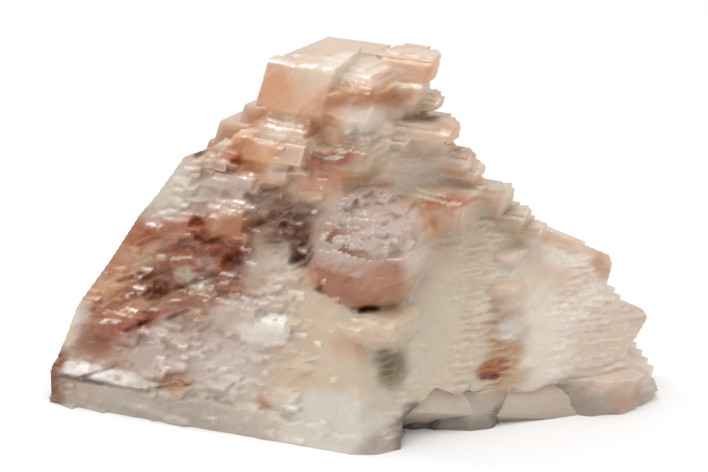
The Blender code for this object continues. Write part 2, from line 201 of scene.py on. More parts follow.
# a cloud that swings as far below zero as above it
def waver(x, z, scale, seed, reach):
    return (cloud(x, z, scale, seed) - 0.5) * 2 * reach


def smooth(low, high, value):
    share = np.clip((value - low) / (high - low), 0, 1)
    return share * share * (3 - 2 * share)


# streaks run from low on the left to high on the right
flow = {"along": (0.5, 0.3), "acrossIt": (-0.85, 1.45), "rise": (8, 38)}


def alongFlow(x, z):
    return x * flow["along"][0] + z * flow["along"][1], x * flow["acrossIt"][0] + z * flow["acrossIt"][1]


plainStone = {"body": "cream", "stain": "tan", "strength": 0.3, "frost": 0.4}


# what the stone looks like at places of the near face: body colour, stain colour, strength, frost
def zoneLook(x, z):
    x, z = (np.atleast_1d(np.asarray(values, dtype=float)) for values in (x, z))
    body, stain = (np.tile(tint(plainStone[name]), (len(x), 1)) for name in ("body", "stain"))
    strength, frost = (np.full(len(x), plainStone[name]) for name in ("strength", "frost"))
    soft = zoneEdge["soft"]
    for number, (zoneX, zoneZ, reachX, reachZ, *look) in enumerate(zones):
        reach = np.hypot((x - zoneX) / reachX, (z - zoneZ) / reachZ)
        near = reach < zoneEdge["limit"]
        if not near.any():
            continue
        bodyName, stainName, howStained, howFrosted = look
        seed = number * cloudSeeds["zoneStep"]
        ragged = waver(*alongFlow(x[near], z[near]), zoneEdge["grain"], seed, zoneEdge["wobble"])
        weight = smooth(1 + soft, 1 - soft, reach[near] + ragged)
        body[near] += weight[:, None] * (tint(bodyName) - body[near])
        stain[near] += weight[:, None] * (tint(stainName) - stain[near])
        strength[near] += weight * (howStained - strength[near])
        frost[near] += weight * (howFrosted - frost[near])
    return body, stain, strength, frost


# seed rhombs: one cube each, worked in edit mode; copies are stretched between the bevels
seedSide = 6.0
bevelRoom = 0.9
seedKinds = {
    "crisp": {"strip": 0.35, "bevel": 0.06, "segments": 1},
    "bright": {"strip": 1.15, "bevel": 0.16, "segments": 2},
    "soft": {"strip": 0.6, "bevel": 0.35, "segments": 2},
    "worn": {"strip": 1.4, "bevel": 1.2, "segments": 3},
}


def selectOnly(item):
    bpy.ops.object.select_all(action="DESELECT")
    bpy.context.view_layer.objects.active = item
    item.select_set(True)


def setMode(mode):
    bpy.ops.object.mode_set(mode=mode)


def makeSeed(name):
    kind = seedKinds[name]
    bpy.ops.object.select_all(action="DESELECT")
    bpy.ops.mesh.primitive_cube_add(size=seedSide)
    seed = bpy.context.object
    mesh = seed.data
    mesh.name = "seed_" + name
    setMode("EDIT")
    bpy.ops.mesh.select_all(action="DESELECT")
    setMode("OBJECT")
    for vert in mesh.vertices:
        vert.select = vert.co.y < 0 < vert.co.z
    setMode("EDIT")
    bpy.ops.mesh.bevel(offset=kind["strip"], segments=1, affect="EDGES")
    bpy.ops.mesh.select_all(action="SELECT")
    bpy.ops.mesh.bevel(offset=kind["bevel"], segments=kind["segments"], affect="EDGES")
    setMode("OBJECT")
    bpy.data.objects.remove(seed, do_unlink=True)
    return mesh


# thin crystals take only a share of their seed's bevels
def bevelShare(lengths):
    return min(1, bevelRoom * min(lengths) / seedSide * 2)


seeds = {name: makeSeed(name) for name in seedKinds}
crystalGroup = bpy.data.collections.new("crystals")
bpy.context.scene.collection.children.link(crystalGroup)
print("seeds made")


def setCorners(mesh, name, kind, field, values):
    layer = mesh.attributes.new(name, kind, "CORNER")
    layer.data.foreach_set(field, np.ascontiguousarray(values, dtype=np.float32).ravel())


def cornerVerts(mesh):
    numbers = np.empty(len(mesh.loops), dtype=np.int32)
    mesh.loops.foreach_get("vertex_index", numbers)
    return numbers


def meshPoints(mesh):
    points = np.empty(len(mesh.vertices) * 3)
    mesh.vertices.foreach_get("co", points)
    return points.reshape(-1, 3)


def setPlaces(mesh, places):
    mesh.vertices.foreach_set("co", ((places + placeShift) * mm).ravel())


def getPlaces(mesh):
    return meshPoints(mesh) / mm - placeShift


# every mesh carries the same marks: where on its crystal, how large that is, its colours and its zoning
def markMesh(mesh, place, side, body, frost, stain, strength, zoning):
    count = len(mesh.loops)
    setCorners(mesh, "place", "FLOAT_VECTOR", "vector", place)
    setCorners(mesh, "side", "FLOAT_VECTOR", "vector", np.broadcast_to(side, (count, 3)))
    for name, colour, alpha in (("body", body, frost), ("stain", stain, strength)):
        rows = np.column_stack((np.broadcast_to(colour, (count, 3)), np.broadcast_to(alpha, count)))
        setCorners(mesh, name, "FLOAT_COLOR", "color", rows)
    setCorners(mesh, "zoning", "FLOAT_COLOR", "color", np.broadcast_to(zoning, (count, 4)))


crystalMarks = {"own": 1.0, "centre": 0.5, "spread": 0.9, "rimShare": 0.25, "uneven": 0.08}


def rimOf(look, lengths):
    return look.get("rim", crystalMarks["rimShare"] * min(lengths[:2]))


# axes turned by up to some degrees, so that no two crystals are quite parallel
def wobbled(axes, turn):
    wobble = Matrix.Rotation(radians(random.uniform(-turn, turn)), 3, "X")
    wobble = wobble @ Matrix.Rotation(radians(random.uniform(-turn, turn)), 3, "Z")
    return [wobble @ axis for axis in axes]


# one crystal: a seed stretched to its lengths and laid along the lattice from its near left top corner
def addCrystal(corner, lengths, look, seed, turn=0, axes=lattice):
    mesh = seeds[seed].copy()
    acrossLength, upLength, awayLength = lengths
    half = np.array((acrossLength, awayLength, upLength)) / 2
    points = meshPoints(mesh)
    bevelled = (seedSide / 2 - np.abs(points)) * bevelShare(lengths)
    local = np.sign(points) * (half - bevelled)
    local += np.array((half[0], half[1], -half[2]))
    basis = wobbled(axes, turn) if turn else axes
    placed = local @ np.array([axis[:] for axis in basis]) + np.array(corner[:])
    setPlaces(mesh, placed)
    owners = cornerVerts(mesh)
    place = local[owners][:, (0, 2, 1)] * (1, -1, 1)
    body, stain, strength, frost = zoneLook(placed[owners, 0], placed[owners, 2])
    look = {**crystalMarks, **look}
    if "body" in look:
        body = body + look["own"] * (tint(look["body"]) - body)
    if "stain" in look:
        stain = stain + look["own"] * (tint(look["stain"]) - stain)
    uneven = random.uniform(-look["uneven"], look["uneven"])
    strength = np.clip(look.get("strength", strength) + uneven, 0, 1)
    zoning = (look["centre"], look["spread"], rimOf(look, lengths), 0.0)
    markMesh(mesh, place, lengths, body, look.get("frost", frost), stain, strength, zoning)
    crystalGroup.objects.link(bpy.data.objects.new("crystal", mesh))


# the near face is a fine sheet of cells seen along the view; crystals are cast into it one by one
sheet = {"cell": 0.32, "x": (-66, 63), "up": (-3, 92), "thickness": 5.0, "warp": 0.45, "warpGrain": 3.0,
         "fall": {"down": 3.6, "left": 4.0, "right": 3.2}}
# the sheet's rim: place across and height on the near slopes
outline = [
    (-63.5, -6), (8, -6), (8.8, 5.2), (12.8, 7.4), (15, 9.7), (19.6, 7.4), (21.4, 8), (26.5, 7),
    (32.2, 6.2), (35.1, 5.6), (37.8, 6.6), (41.3, 6.4), (46.6, 4.9), (49.3, 4.5), (52.4, 1.3), (56.6, -1.2),
    (61.4, 2.1), (60.6, 4.4), (54.7, 9.9), (59.3, 15.4), (58.4, 17.6), (50.2, 21.6), (52, 26.6),
    (51.2, 28.6), (39.4, 34.3), (33, 37), (28, 41), (25, 44), (20, 48), (16.5, 53), (13, 58), (10, 63),
    (6, 68), (3, 71), (-14, 71), (-17, 66), (-19, 59), (-22, 57), (-24, 54), (-29.5, 52.2), (-35.2, 49.6),
    (-40.6, 42.2), (-45, 36.8), (-50.4, 28.6), (-56, 21), (-58, 18), (-59.6, 13.6), (-62.8, 6.2),
]
# soft swells and hollows of the sheet: place, reach across and up, how far out
swells = [
    (4, 64, 5, 5, 3), (-1, 57.5, 6, 4, 2), (3, 15, 5, 14, 1.2), (17, 20, 5, 14, 1.4), (38, 22, 6, 12, 1.2),
    (46, 14, 4, 8, 0.8), (29.3, 14, 3.2, 8, -1.6), (26.4, 10.4, 3, 1.8, -1), (9.5, 30, 4, 8, -1),
    (-25.1, 31.6, 3.2, 2.6, -2.4), (-39.9, 24.6, 3.4, 2.2, -2.2), (-10.6, 35.2, 2.2, 3.4, -3.5),
    (-13.4, 40.1, 4.5, 4, -2), (0.2, 27, 2.6, 1.2, -3.5), (6.6, 15, 2.6, 2.6, -1), (-39, 43.9, 7, 6, 0.8),
    (-33, 30, 8, 5, -0.6), (-57, 24, 2.4, 4, 1.6), (-30, 12, 12, 6, 0.8),
]
# soft clouds over the whole sheet: scale and reach
softClouds = {"broadForms": (14, 0.8), "smallForms": (5, 0.35)}
baseBand = {"start": (-65, 31.0), "end": (0.4, 4.5), "until": 1, "lean": 0.10, "ragged": 1.2, "melt": 0.4,
            "top": [(-64, 7.6), (-50, 7.0), (-34, 5.2), (-10, 4.4), (1, 3.0)], "clear": 3, "grain": 3}
freshCell = {"owner": 0, "kind": 0, "rim": 0.6, "along": 0.5}

# which way each plane of a crystal looks, along its own across, away and up directions
facetPlanes = {
    "front": (0, -1, 0), "top": (0, 0, 1), "right": (1, 0, 0), "left": (-1, 0, 0), "bottom": (0, 0, -1),
    "back": (0, 1, 0), "strip": (0, -1, 1), "frontRight": (1, -1, 0), "topRight": (1, 0, 1),
    "frontLeft": (-1, -1, 0), "frontBottom": (0, -1, -1), "rightBottom": (1, 0, -1), "topLeft": (-1, 0, 1),
    "slantRight": (1, 0, -0.45), "settle": (0.36, -1, 0),
}
facetNames = list(facetPlanes)


def sheetBase(x, t):
    depth = []
    for start, perX, perZ in (leftSlope, rightSlope):
        depth.append((start + perX * x + t * (perZ * viewUp.z - viewUp.y)) / (viewIn.y - perZ * viewIn.z))
    return np.maximum(*depth)


def softForms(x, z):
    out = 0.0
    for name, (scale, reach) in softClouds.items():
        out = out + waver(x, z, scale, cloudSeeds[name], reach)
    for swellX, swellZ, reachX, reachZ, height in swells:
        out = out + height * np.exp(-((x - swellX) / reachX) ** 2 - ((z - swellZ) / reachZ) ** 2)
    return out


def softAt(x, z):
    return float(softForms(np.array(x), np.array(z)))


def isInside(x, t, corners):
    inside = np.zeros(np.shape(x), dtype=bool)
    for (oneX, oneT), (twoX, twoT) in zip(corners, corners[1:] + corners[:1]):
        if oneT == twoT:
            continue
        crossing = oneX + (t - oneT) / (twoT - oneT) * (twoX - oneX)
        inside ^= ((oneT > t) != (twoT > t)) & (x < crossing)
    return inside


outlineCorners = [(x, onFront(x, z, 0) @ viewUp) for x, z in outline]


# nearer of two surfaces, with a fillet as wide as the melt where they meet
def meltTogether(old, new, melt):
    share = np.clip(0.5 + 0.5 * (old - new) / melt, 0, 1)
    return old * (1 - share) + new * share - melt * share * (1 - share)


# the broken grey band at the foot stands more upright than the slope above it
def bandDepth(x, t):
    (startX, startY), (endX, endY) = baseBand["start"], baseBand["end"]
    y = startY + (x - startX) * (endY - startY) / (endX - startX)
    lean = baseBand["lean"]
    return (y + t * (lean * viewUp.z - viewUp.y)) / (viewIn.y - lean * viewIn.z)


def startField():
    (startX, endX), (startT, endT), cell = sheet["x"], sheet["up"], sheet["cell"]
    columns, rows = int((endX - startX) / cell) + 1, int((endT - startT) / cell) + 1
    x, t = np.meshgrid(startX + cell * np.arange(columns), startT + cell * np.arange(rows))
    depth = sheetBase(x, t)
    z = heightAt(t, depth)
    depth = depth - softForms(x, z)
    bandTop = np.interp(x, *zip(*baseBand["top"])) + waver(
        x, t, baseBand["grain"], cloudSeeds["band"], baseBand["ragged"])
    inBand = (z < bandTop) & (x < baseBand["until"])
    band = np.where(inBand, bandDepth(x, t), depth + baseBand["clear"])
    depth = meltTogether(depth, band, baseBand["melt"])
    return {"x": x, "t": t, "depth": depth,
            "warpedX": x + waver(x, t, sheet["warpGrain"], cloudSeeds["warpAcross"], sheet["warp"]),
            "warpedT": t + waver(x, t, sheet["warpGrain"], cloudSeeds["warpUp"], sheet["warp"]),
            **{name: np.full(x.shape, value) for name, value in freshCell.items()},
            "covered": isInside(x, t, outlineCorners), "looks": [{}]}


def crystalLimits(lengths, seed, cuts):
    acrossLength, upLength, awayLength = lengths
    strip, bevel = (seedKinds[seed][name] * bevelShare(lengths) for name in ("strip", "bevel"))
    limits = []
    for name, (toAcross, toAway, toUp) in facetPlanes.items():
        limit = acrossLength * max(toAcross, 0) + awayLength * max(toAway, 0) + upLength * max(-toUp, 0)
        slanted = abs(toAcross) + abs(toAway) + abs(toUp) > 1
        limits.append(limit - cuts.get(name, (strip if name == "strip" else bevel) * slanted))
    return np.array(limits)


# where the view enters and leaves the ellipsoid that rounds a crystal's corners off
def roundedLimits(lengths, roundness, places, run):
    acrossLength, upLength, awayLength = lengths
    middle = np.array((acrossLength / 2, awayLength / 2, -upLength / 2))
    radii = np.abs(middle) * roundness
    start, way = (places - middle[:, None, None]) / radii[:, None, None], (run / radii)[:, None, None]
    square, cross = (way ** 2).sum(axis=0), (start * way).sum(axis=0)
    inside = cross ** 2 - square * ((start ** 2).sum(axis=0) - 1)
    root = np.sqrt(np.maximum(inside, 0))
    enter = np.where(inside > 0, (-cross - root) / square, np.inf)
    return enter, (root - cross) / square, root / square


# the cells that a crystal can touch
def windowAround(x, t):
    window, cell = [], sheet["cell"]
    for places, (start, _) in ((t, sheet["up"]), (x, sheet["x"])):
        low, high = int((places.min() - start) / cell) - 1, int((places.max() - start) / cell) + 3
        window.append(slice(max(low, 0), max(high, 0)))
    return tuple(window)


facetTilt = 0.02


# one crystal seen along the view: where it is nearer than the sheet, the sheet comes forward to it
def castCrystal(field, corner, lengths, look, seed, turn=1.0, melt=0.3, axes=None, keepInside=False,
                cuts=None, roundness=0.0):
    look = look or {}
    basis = np.array([axis[:] for axis in wobbled(axes or lattice, turn)]).T
    inverse = np.linalg.inv(basis)
    acrossLength, upLength, awayLength = lengths
    ends = np.array([(a, b, c) for a in (0, acrossLength) for b in (0, awayLength) for c in (-upLength, 0)])
    points = ends @ basis.T + np.array(corner[:])
    cornersX, cornersT = points[:, 0], points @ np.array(viewUp[:])
    nearLow, nearHigh = [0, 4], [1, 5]
    if keepInside and not isInside(cornersX[nearLow], cornersT[nearHigh], outlineCorners).all():
        return
    window = windowAround(cornersX, cornersT)
    x, t = field["warpedX"][window], field["warpedT"][window]
    if not x.size:
        return
    planes = np.array(list(facetPlanes.values()), dtype=float)
    planes[:3] += [[random.uniform(-1, 1) * facetTilt for _ in range(3)] for _ in range(3)]
    ways = ((1.0, 0, 0), viewUp[:], viewIn[:], corner[:])
    toRight, toUp, toDepth, start = (inverse @ np.array(way) for way in ways)
    run = (planes @ toDepth)[:, None, None]
    spare = (crystalLimits(lengths, seed, cuts or {}) + planes @ start)[:, None, None]
    room = spare - (planes @ toRight)[:, None, None] * x - (planes @ toUp)[:, None, None] * t
    reach, into = room / run, run.ravel() < 0
    enter, leave = reach[into].max(axis=0), reach[run.ravel() > 0].min(axis=0)
    kind = np.flatnonzero(into)[reach[into].argmax(axis=0)]
    spread = (room - run * enter) / np.linalg.norm(planes, axis=1)[:, None, None]
    rim = np.partition(np.abs(spread), 1, axis=0)[1]
    if np.any(roundness):
        places = toRight[:, None, None] * x + toUp[:, None, None] * t - start[:, None, None]
        roundEnter, roundLeave, halfChord = roundedLimits(lengths, roundness, places, toDepth)
        kind = np.where(roundEnter > enter, 0, kind)
        enter, leave = np.maximum(enter, roundEnter), np.minimum(leave, roundLeave)
        rim = np.minimum(rim, halfChord * 0.5)
    old = field["depth"][window]
    own = (enter < leave) & (enter < old)
    hit = (enter < leave) & (enter < old + melt)
    field["depth"][window] = np.where(hit, meltTogether(old, np.where(hit, enter, old), melt), old)
    along = (toRight[0] * x + toUp[0] * t + toDepth[0] * enter - start[0]) / acrossLength
    field["looks"].append(dict(look, shade=random.random(), rim=rimOf(look, lengths)))
    owner = len(field["looks"]) - 1
    for name, value in (("owner", owner), ("kind", kind), ("rim", rim), ("along", along)):
        field[name][window] = np.where(own, value, field[name][window])
    field["covered"][window] |= own


surfaceStyle = {"turn": 4, "melt": 0.12}


def cellAt(x, t):
    return int((t - sheet["up"][0]) / sheet["cell"]), int((x - sheet["x"][0]) / sheet["cell"])


# one crystal that stands out from whatever is already at its place in the view
def castOnSurface(field, x, t, lengths, standOut, look, seed="crisp"):
    corner = inView(x, t, float(field["depth"][cellAt(x, t)]) - standOut)
    castCrystal(field, corner, lengths, look, seed, surfaceStyle["turn"], surfaceStyle["melt"])


# named crystals of the near face: corner place, stand-out, size, plates as count, rise and run, and look
usualCrystal = {"round": 1.28, "plates": (0, 0, 0), "seed": "soft", "cuts": {}, "settled": 0.55,
                "inset": 0.05, "melt": 0.4, "edge": False}
namedCrystals = {
    "summit": {"at": (-18, 70.5), "out": 3, "size": (17, 10, 27.5), "plates": (6, 0.6, 3.6),
               "seed": "bright", "round": 0, "cuts": {"strip": 0.8, "settle": 0}, "inset": 0.012,
               "edge": True,
               "look": {"body": "shell", "stain": "peach", "strength": 0.5, "centre": 0, "spread": 1,
                        "rim": 2}},
    "secondTier": {"at": (-9.6, 66.6), "out": 5.6, "size": (14.5, 6.5, 16), "plates": (5, 0.7, 1.3),
                   "seed": "bright", "round": 0, "cuts": {"topLeft": 4.5, "frontBottom": 2.5},
                   "settled": 0.7,
                   "look": {"body": "apricot", "stain": "sienna", "strength": 1.8, "centre": 0.1,
                            "spread": 0.7, "rim": 0.7}},
    "shoulder": {"at": (-22, 56), "out": 3, "size": (15, 5, 16), "plates": (4, 1.1, 0.7), "seed": "bright",
                 "round": 0, "cuts": {"frontRight": 4}, "edge": True,
                 "look": {"body": "shell", "stain": "sienna", "strength": 1.8, "centre": 0.05,
                          "spread": 0.5, "rim": 0.8}},
    "shoulderFoot": {"at": (-25.5, 49), "out": 0.8, "size": (14, 2.5, 12), "plates": (1, 0.7, 1.5),
                     "cuts": {"frontRight": 5},
                     "look": {"body": "peach", "stain": "orange", "strength": 0.5}},
    "crestLeft": {"at": (-33, 50), "out": 0.4, "size": (9, 2.5, 12), "plates": (1, 0.8, 1), "edge": True,
                  "look": {"body": "blush", "stain": "rust", "strength": 0.5}},
    "crestMiddle": {"at": (-29, 53.4), "out": 0.6, "size": (7, 2.6, 9), "plates": (2, 0.7, 1.5),
                    "look": {"body": "shell", "stain": "sienna", "strength": 0.6}},
    "crestRight": {"at": (-25.5, 55.6), "out": 1.2, "size": (8, 3, 9), "plates": (2, 0.7, 1.5),
                   "look": {"body": "apricot", "stain": "orange", "strength": 0.6}},
    "crestLeftSmall": {"at": (-32.5, 48.5), "out": 0.6, "size": (6.5, 2, 8),
                       "look": {"body": "smoky", "stain": "brown", "strength": 0.5}},
    "greyPink": {"at": (-32, 47), "out": 1, "size": (14.5, 3, 12), "plates": (1, 0.8, 1.5),
                 "look": {"body": "blush", "stain": "smoky", "strength": 0.6}},
    "middleLayered": {"at": (-9, 54.5), "out": 2, "size": (13, 3.6, 14), "plates": (6, 0.7, 0.9),
                      "seed": "bright", "round": 0, "cuts": {"frontRight": 3.5, "frontBottom": 1},
                      "look": {"body": "tan", "stain": "umber", "strength": 2, "centre": 0.3,
                               "rim": 0.5, "spread": 0.9}},
    "rightLozenge": {"at": (9, 44.5), "out": 1.4, "size": (14, 3, 12), "plates": (2, 0.8, 1.5),
                     "look": {"body": "shell", "stain": "orange", "strength": 0.9, "centre": 0.6,
                              "rim": 0.4}},
    "rightPatch": {"at": (10.5, 42.5), "out": 0.6, "size": (7, 5, 8),
                   "look": {"body": "peach", "stain": "orange", "strength": 0.6}},
    "leftBig": {"at": (-31.5, 41), "out": 3, "size": (10.5, 5, 12), "plates": (4, 1.2, 1), "seed": "bright",
                "cuts": {"frontLeft": 2.5, "frontBottom": 1.5},
                "look": {"body": "golden", "stain": "rust", "strength": 1.5, "centre": 0.3, "rim": 0.5}},
    "leftFlat": {"at": (-44.5, 37.5), "out": 1.3, "size": (13.5, 3, 14), "plates": (2, 1, 1.2),
                 "seed": "bright", "cuts": {"frontLeft": 2.5, "frontBottom": 1},
                 "look": {"body": "golden", "stain": "rust", "strength": 1.2, "centre": 0.4, "rim": 0.6}},
    "centralFoot": {"at": (-4.5, 24), "out": 1.6, "size": (14, 3, 12), "plates": (2, 0.8, 1.5),
                    "look": {"body": "shell", "stain": "golden", "strength": 0.7}},
    "glintOne": {"at": (27.5, 32.5), "out": 0.6, "size": (5, 2, 8), "seed": "bright",
                 "look": {"body": "glass", "stain": "peach", "strength": 0.4}},
    "glintTwo": {"at": (25.5, 27), "out": 0.6, "size": (7, 2.5, 8),
                 "look": {"body": "shell", "stain": "peach", "strength": 0.4}},
    "redLens": {"at": (-41, 24), "out": 1.2, "size": (14, 4, 16), "plates": (3, 0.9, 1.8),
                "cuts": {"frontLeft": 2.5, "frontBottom": 1.5},
                "look": {"body": "tan", "stain": "umber", "strength": 1.3, "centre": 0.4, "rim": 0.4}},
    "redLow": {"at": (-54, 18), "out": 1.5, "size": (12, 5, 14), "plates": (2, 1, 1.5), "seed": "bright",
               "cuts": {"frontLeft": 2, "frontBottom": 1.5},
               "look": {"body": "sienna", "stain": "umber", "strength": 1.5, "rim": 0.4}},
    "clearBlock": {"at": (-43, 17.5), "out": 1.4, "size": (5.5, 2.4, 8),
                   "look": {"body": "cream", "stain": "tan", "strength": 0.2, "frost": 0.3}},
    "frostedLeft": {"at": (-49.5, 13.5), "out": 0.2, "size": (13, 5, 12), "plates": (1, 0.8, 1.5),
                    "cuts": {"frontLeft": 3, "frontBottom": 2}, "melt": 1.5,
                    "look": {"body": "blush", "stain": "tan", "strength": 0.3, "frost": 0.9, "own": 0.5}},
    "frostedBig": {"at": (-32, 23.5), "out": 1.2, "size": (15, 5.5, 16), "plates": (2, 0.9, 1.5),
                   "cuts": {"frontLeft": 4, "frontBottom": 2.5}, "melt": 2,
                   "look": {"body": "cream", "stain": "olive", "strength": 0.35, "frost": 0.8, "own": 0.5}},
    "whitePatch": {"at": (-23.8, 21.6), "out": 0.9, "size": (11.5, 4.4, 12), "plates": (2, 0.7, 1),
                   "seed": "crisp", "round": 0, "cuts": {"frontLeft": 2, "topLeft": 2},
                   "look": {"body": "white", "stain": "pale", "strength": 0.1, "frost": 0.5, "own": 1}},
    "sparkle": {"at": (-22.5, 25.5), "out": 0.4, "size": (10, 2.4, 12), "plates": (2, 0.8, 1.2),
                "seed": "bright",
                "look": {"body": "blush", "stain": "lilac", "strength": 0.5, "frost": 0.6, "own": 0.6}},
}
plateStyle = {"narrowing": 2.2, "root": 1.5, "jitter": 0.25, "spread": (0.6, 1.4), "chips": 3,
              "chipWidth": (0.15, 0.4), "chipOut": (0.1, 0.5), "chipDrop": (0, 0.5), "chipDeep": 3}
backing = {"inset": 0.45}


# a crystal that shapes the outline also gets a solid just behind the sheet
def addBacking(corner, lengths, look, axes=lattice):
    inset = backing["inset"]
    backCorner = corner + (axes[0] + axes[1] - axes[2]) * inset
    addCrystal(backCorner, [length - 2 * inset for length in lengths], look, "crisp", axes=axes)


# thin plates stepped back over a crystal's front, with chips along their edges
def castTerraces(field, corner, lengths, plates, look, spread):
    acrossLength, _, awayLength = lengths
    count, rise, run = plates
    style = plateStyle
    for plate in range(1, count + 1):
        inset = plate * spread * random.uniform(*style["spread"])
        back = run * plate + random.uniform(-1, 1) * style["jitter"]
        plateCorner = corner + away * back + up * (rise * plate) + across * (acrossLength * inset)
        width = acrossLength * (1 - style["narrowing"] * inset)
        size = (width, rise * plate + style["root"], awayLength - run * plate)
        castCrystal(field, plateCorner, size, look, "crisp")
        for _ in range(style["chips"]):
            chipWidth = width * random.uniform(*style["chipWidth"])
            chipCorner = plateCorner + across * random.uniform(0, width - chipWidth)
            chipCorner = chipCorner - away * random.uniform(*style["chipOut"])
            chipCorner -= up * random.uniform(*style["chipDrop"]) * rise
            castCrystal(field, chipCorner, (chipWidth, rise, style["chipDeep"]), look, "crisp")


def castNamedCrystals(field):
    for named in namedCrystals.values():
        crystal = {**usualCrystal, **named}
        size, look = crystal["size"], crystal["look"]
        cuts = {"settle": facetPlanes["settle"][0] * size[0] * crystal["settled"], **crystal["cuts"]}
        corner = onFront(*crystal["at"], crystal["out"])
        castCrystal(field, corner, size, look, crystal["seed"], melt=crystal["melt"], cuts=cuts,
                    roundness=crystal["round"])
        castTerraces(field, corner, size, crystal["plates"], look, crystal["inset"])
        if crystal["edge"]:
            addBacking(corner, size, look)


# rounded crystal in the middle: one worn block under a dome of thin ragged plates
centralCrystal = {
    "centre": (1.2, 41.4), "behind": 4.0, "size": (26, 23, 18), "round": 1.14, "melt": 1.2,
    "cuts": {"frontBottom": 2.0, "frontLeft": 2.5, "rightBottom": 4.0, "strip": 2.0},
    "slices": 15, "sliceRoot": 3, "sliceMelt": 0.1, "jitter": 0.45, "tall": 1000,
    "band": (-4.8, 41.6), "bandSize": (16, 0.9, 4), "bandOut": 0.3,
    "notches": 320, "notchArea": ((-6, 8), (41.5, 54)), "notchLift": 6, "notchReach": 0.52,
    "notch": ((0.8, 2.8), (0.3, 0.9)), "notchDeep": 1.6, "standOut": (0.1, 0.5),
    "look": {"body": "tan", "stain": "umber", "strength": 1.3, "centre": 0.35, "spread": 1.1, "rim": 2.0,
             "own": 1.0},
    "plateLook": {"body": "blush", "stain": "smoky", "strength": 0.6, "frost": 0.6, "spread": 3},
}


def castCentralCrystal(field):
    shape = centralCrystal
    (centreX, centreT), jitter, plateLook = shape["centre"], shape["jitter"], shape["plateLook"]
    middle = inView(centreX, centreT, float(sheetBase(centreX, centreT)) + shape["behind"])
    acrossLength, upLength, awayLength = shape["size"]
    half = upLength / 2
    domeCorner = middle - across * (acrossLength / 2) - away * (awayLength / 2) + up * half
    castCrystal(field, domeCorner, shape["size"], shape["look"], "worn", melt=shape["melt"],
                cuts=shape["cuts"], roundness=shape["round"])
    roundness = np.array((shape["round"], shape["round"], shape["tall"]))
    for row in range(1, shape["slices"]):
        height = half * row / shape["slices"]
        reach = (1 - (height / half / shape["round"]) ** 2) ** 0.5
        for _ in range(2):
            size = (acrossLength * reach, half / shape["slices"] + shape["sliceRoot"], awayLength * reach)
            sliceCorner = middle + up * height - across * (size[0] / 2 + random.uniform(-jitter, jitter))
            sliceCorner -= away * (size[2] / 2 + random.uniform(-jitter, jitter))
            castCrystal(field, sliceCorner, size, plateLook, "crisp", melt=shape["sliceMelt"],
                        roundness=roundness)
    castOnSurface(field, *shape["band"], shape["bandSize"], shape["bandOut"], plateLook, "bright")
    (lowX, highX), (lowT, highT) = shape["notchArea"]
    notchT = centreT + shape["notchLift"]
    for _ in range(shape["notches"]):
        x, t = random.uniform(lowX, highX), random.uniform(lowT, highT)
        if np.hypot((x - centreX) / (highX - lowX), (t - notchT) / (highT - lowT)) < shape["notchReach"]:
            width, height = (random.uniform(*limits) for limits in shape["notch"])
            size, out = (width, height, shape["notchDeep"]), random.uniform(*shape["standOut"])
            castOnSurface(field, x, t, size, out, plateLook)


def outwardOf(slope):
    _, perX, perZ = slope
    return Vector((perX, -1, perZ))


# a direction in a slope's own plane that rises by some degrees as the camera sees it
def slopeDirection(slope, rise):
    outward = outwardOf(slope)
    seen = Vector((cos(radians(rise)), 0, 0)) + viewUp * sin(radians(rise))
    return (seen - viewIn * (seen.dot(outward) / viewIn.dot(outward))).normalized()


# where the right slope meets the lattice's flat planes
def slopeAlong():
    along = outwardOf(rightSlope).cross(across.cross(away)).normalized()
    return along if along.x > 0 else -along


# teeth of the right edge: plates whose right end steps back behind the tip
rightTeeth = {
    "summitArm": {"at": (4.5, 71.5), "out": 1, "size": (13, 5.5, 4.5), "steps": 4, "stain": 0.6},
    "armFoot": {"at": (3.5, 66.8), "out": 0.8, "size": (11.5, 4.5, 4), "steps": 2, "stain": 0.2},
    "ladderOne": {"at": (8.5, 63.5), "out": 1, "size": (9, 3.2, 4), "steps": 4, "stain": 0.3},
    "ladderTwo": {"at": (7.5, 58.8), "out": 2.4, "size": (13.5, 3.4, 5), "steps": 4, "stain": 0.5},
    "ladderTwoSmall": {"at": (6, 56.5), "out": 2, "size": (5, 2, 4), "steps": 1, "stain": 0.3},
    "ladderThree": {"at": (14.5, 52.5), "out": 1, "size": (9.5, 3.5, 4), "steps": 3, "stain": 0.7},
    "ladderFour": {"at": (16.5, 50), "out": 1, "size": (9, 3, 4), "steps": 3, "stain": 0.4},
    "ladderFive": {"at": (23, 45), "out": 1, "size": (8.5, 4, 4), "steps": 3, "stain": 0.5},
    "ladderSix": {"at": (27.5, 40.5), "out": 1, "size": (7.5, 3, 4), "steps": 3, "stain": 0.2},
    "ladderSeven": {"at": (31, 37.5), "out": 1, "size": (7, 3, 4), "steps": 3, "stain": 0.15},
    "toothOne": {"at": (38, 34), "size": (13.5, 4.5, 4), "steps": 4, "stain": 0.2, "body": "pale",
                 "flush": True},
    "toothOneLow": {"at": (42, 27.5), "size": (8.5, 6, 4.5), "steps": 3, "stain": 0.3, "flush": True},
    "toothTwo": {"at": (46.5, 22.5), "size": (12.5, 10, 4), "steps": 4, "stain": 0.1, "body": "milk",
                 "flush": True},
    "toothThree": {"at": (52, 11), "size": (11.5, 10, 4), "steps": 4, "stain": 0.1, "body": "pale",
                   "flush": True},
    "paleBlock": {"at": (51, 6.5), "size": (6, 4, 5), "steps": 1, "stain": 0.1, "body": "pale",
                  "flush": True},
}
toothStyle = {"shrink": 3, "lap": 0.4, "slip": 0.35, "root": 3.0, "sunk": -2.0, "held": 1.6, "descent": -22,
              "melt": 0.25, "cuts": {"rightBottom": 0.8, "strip": 1.5},
              "look": {"body": "shell", "stain": "orange", "centre": 0.85, "spread": 0.45, "own": 0.7}}


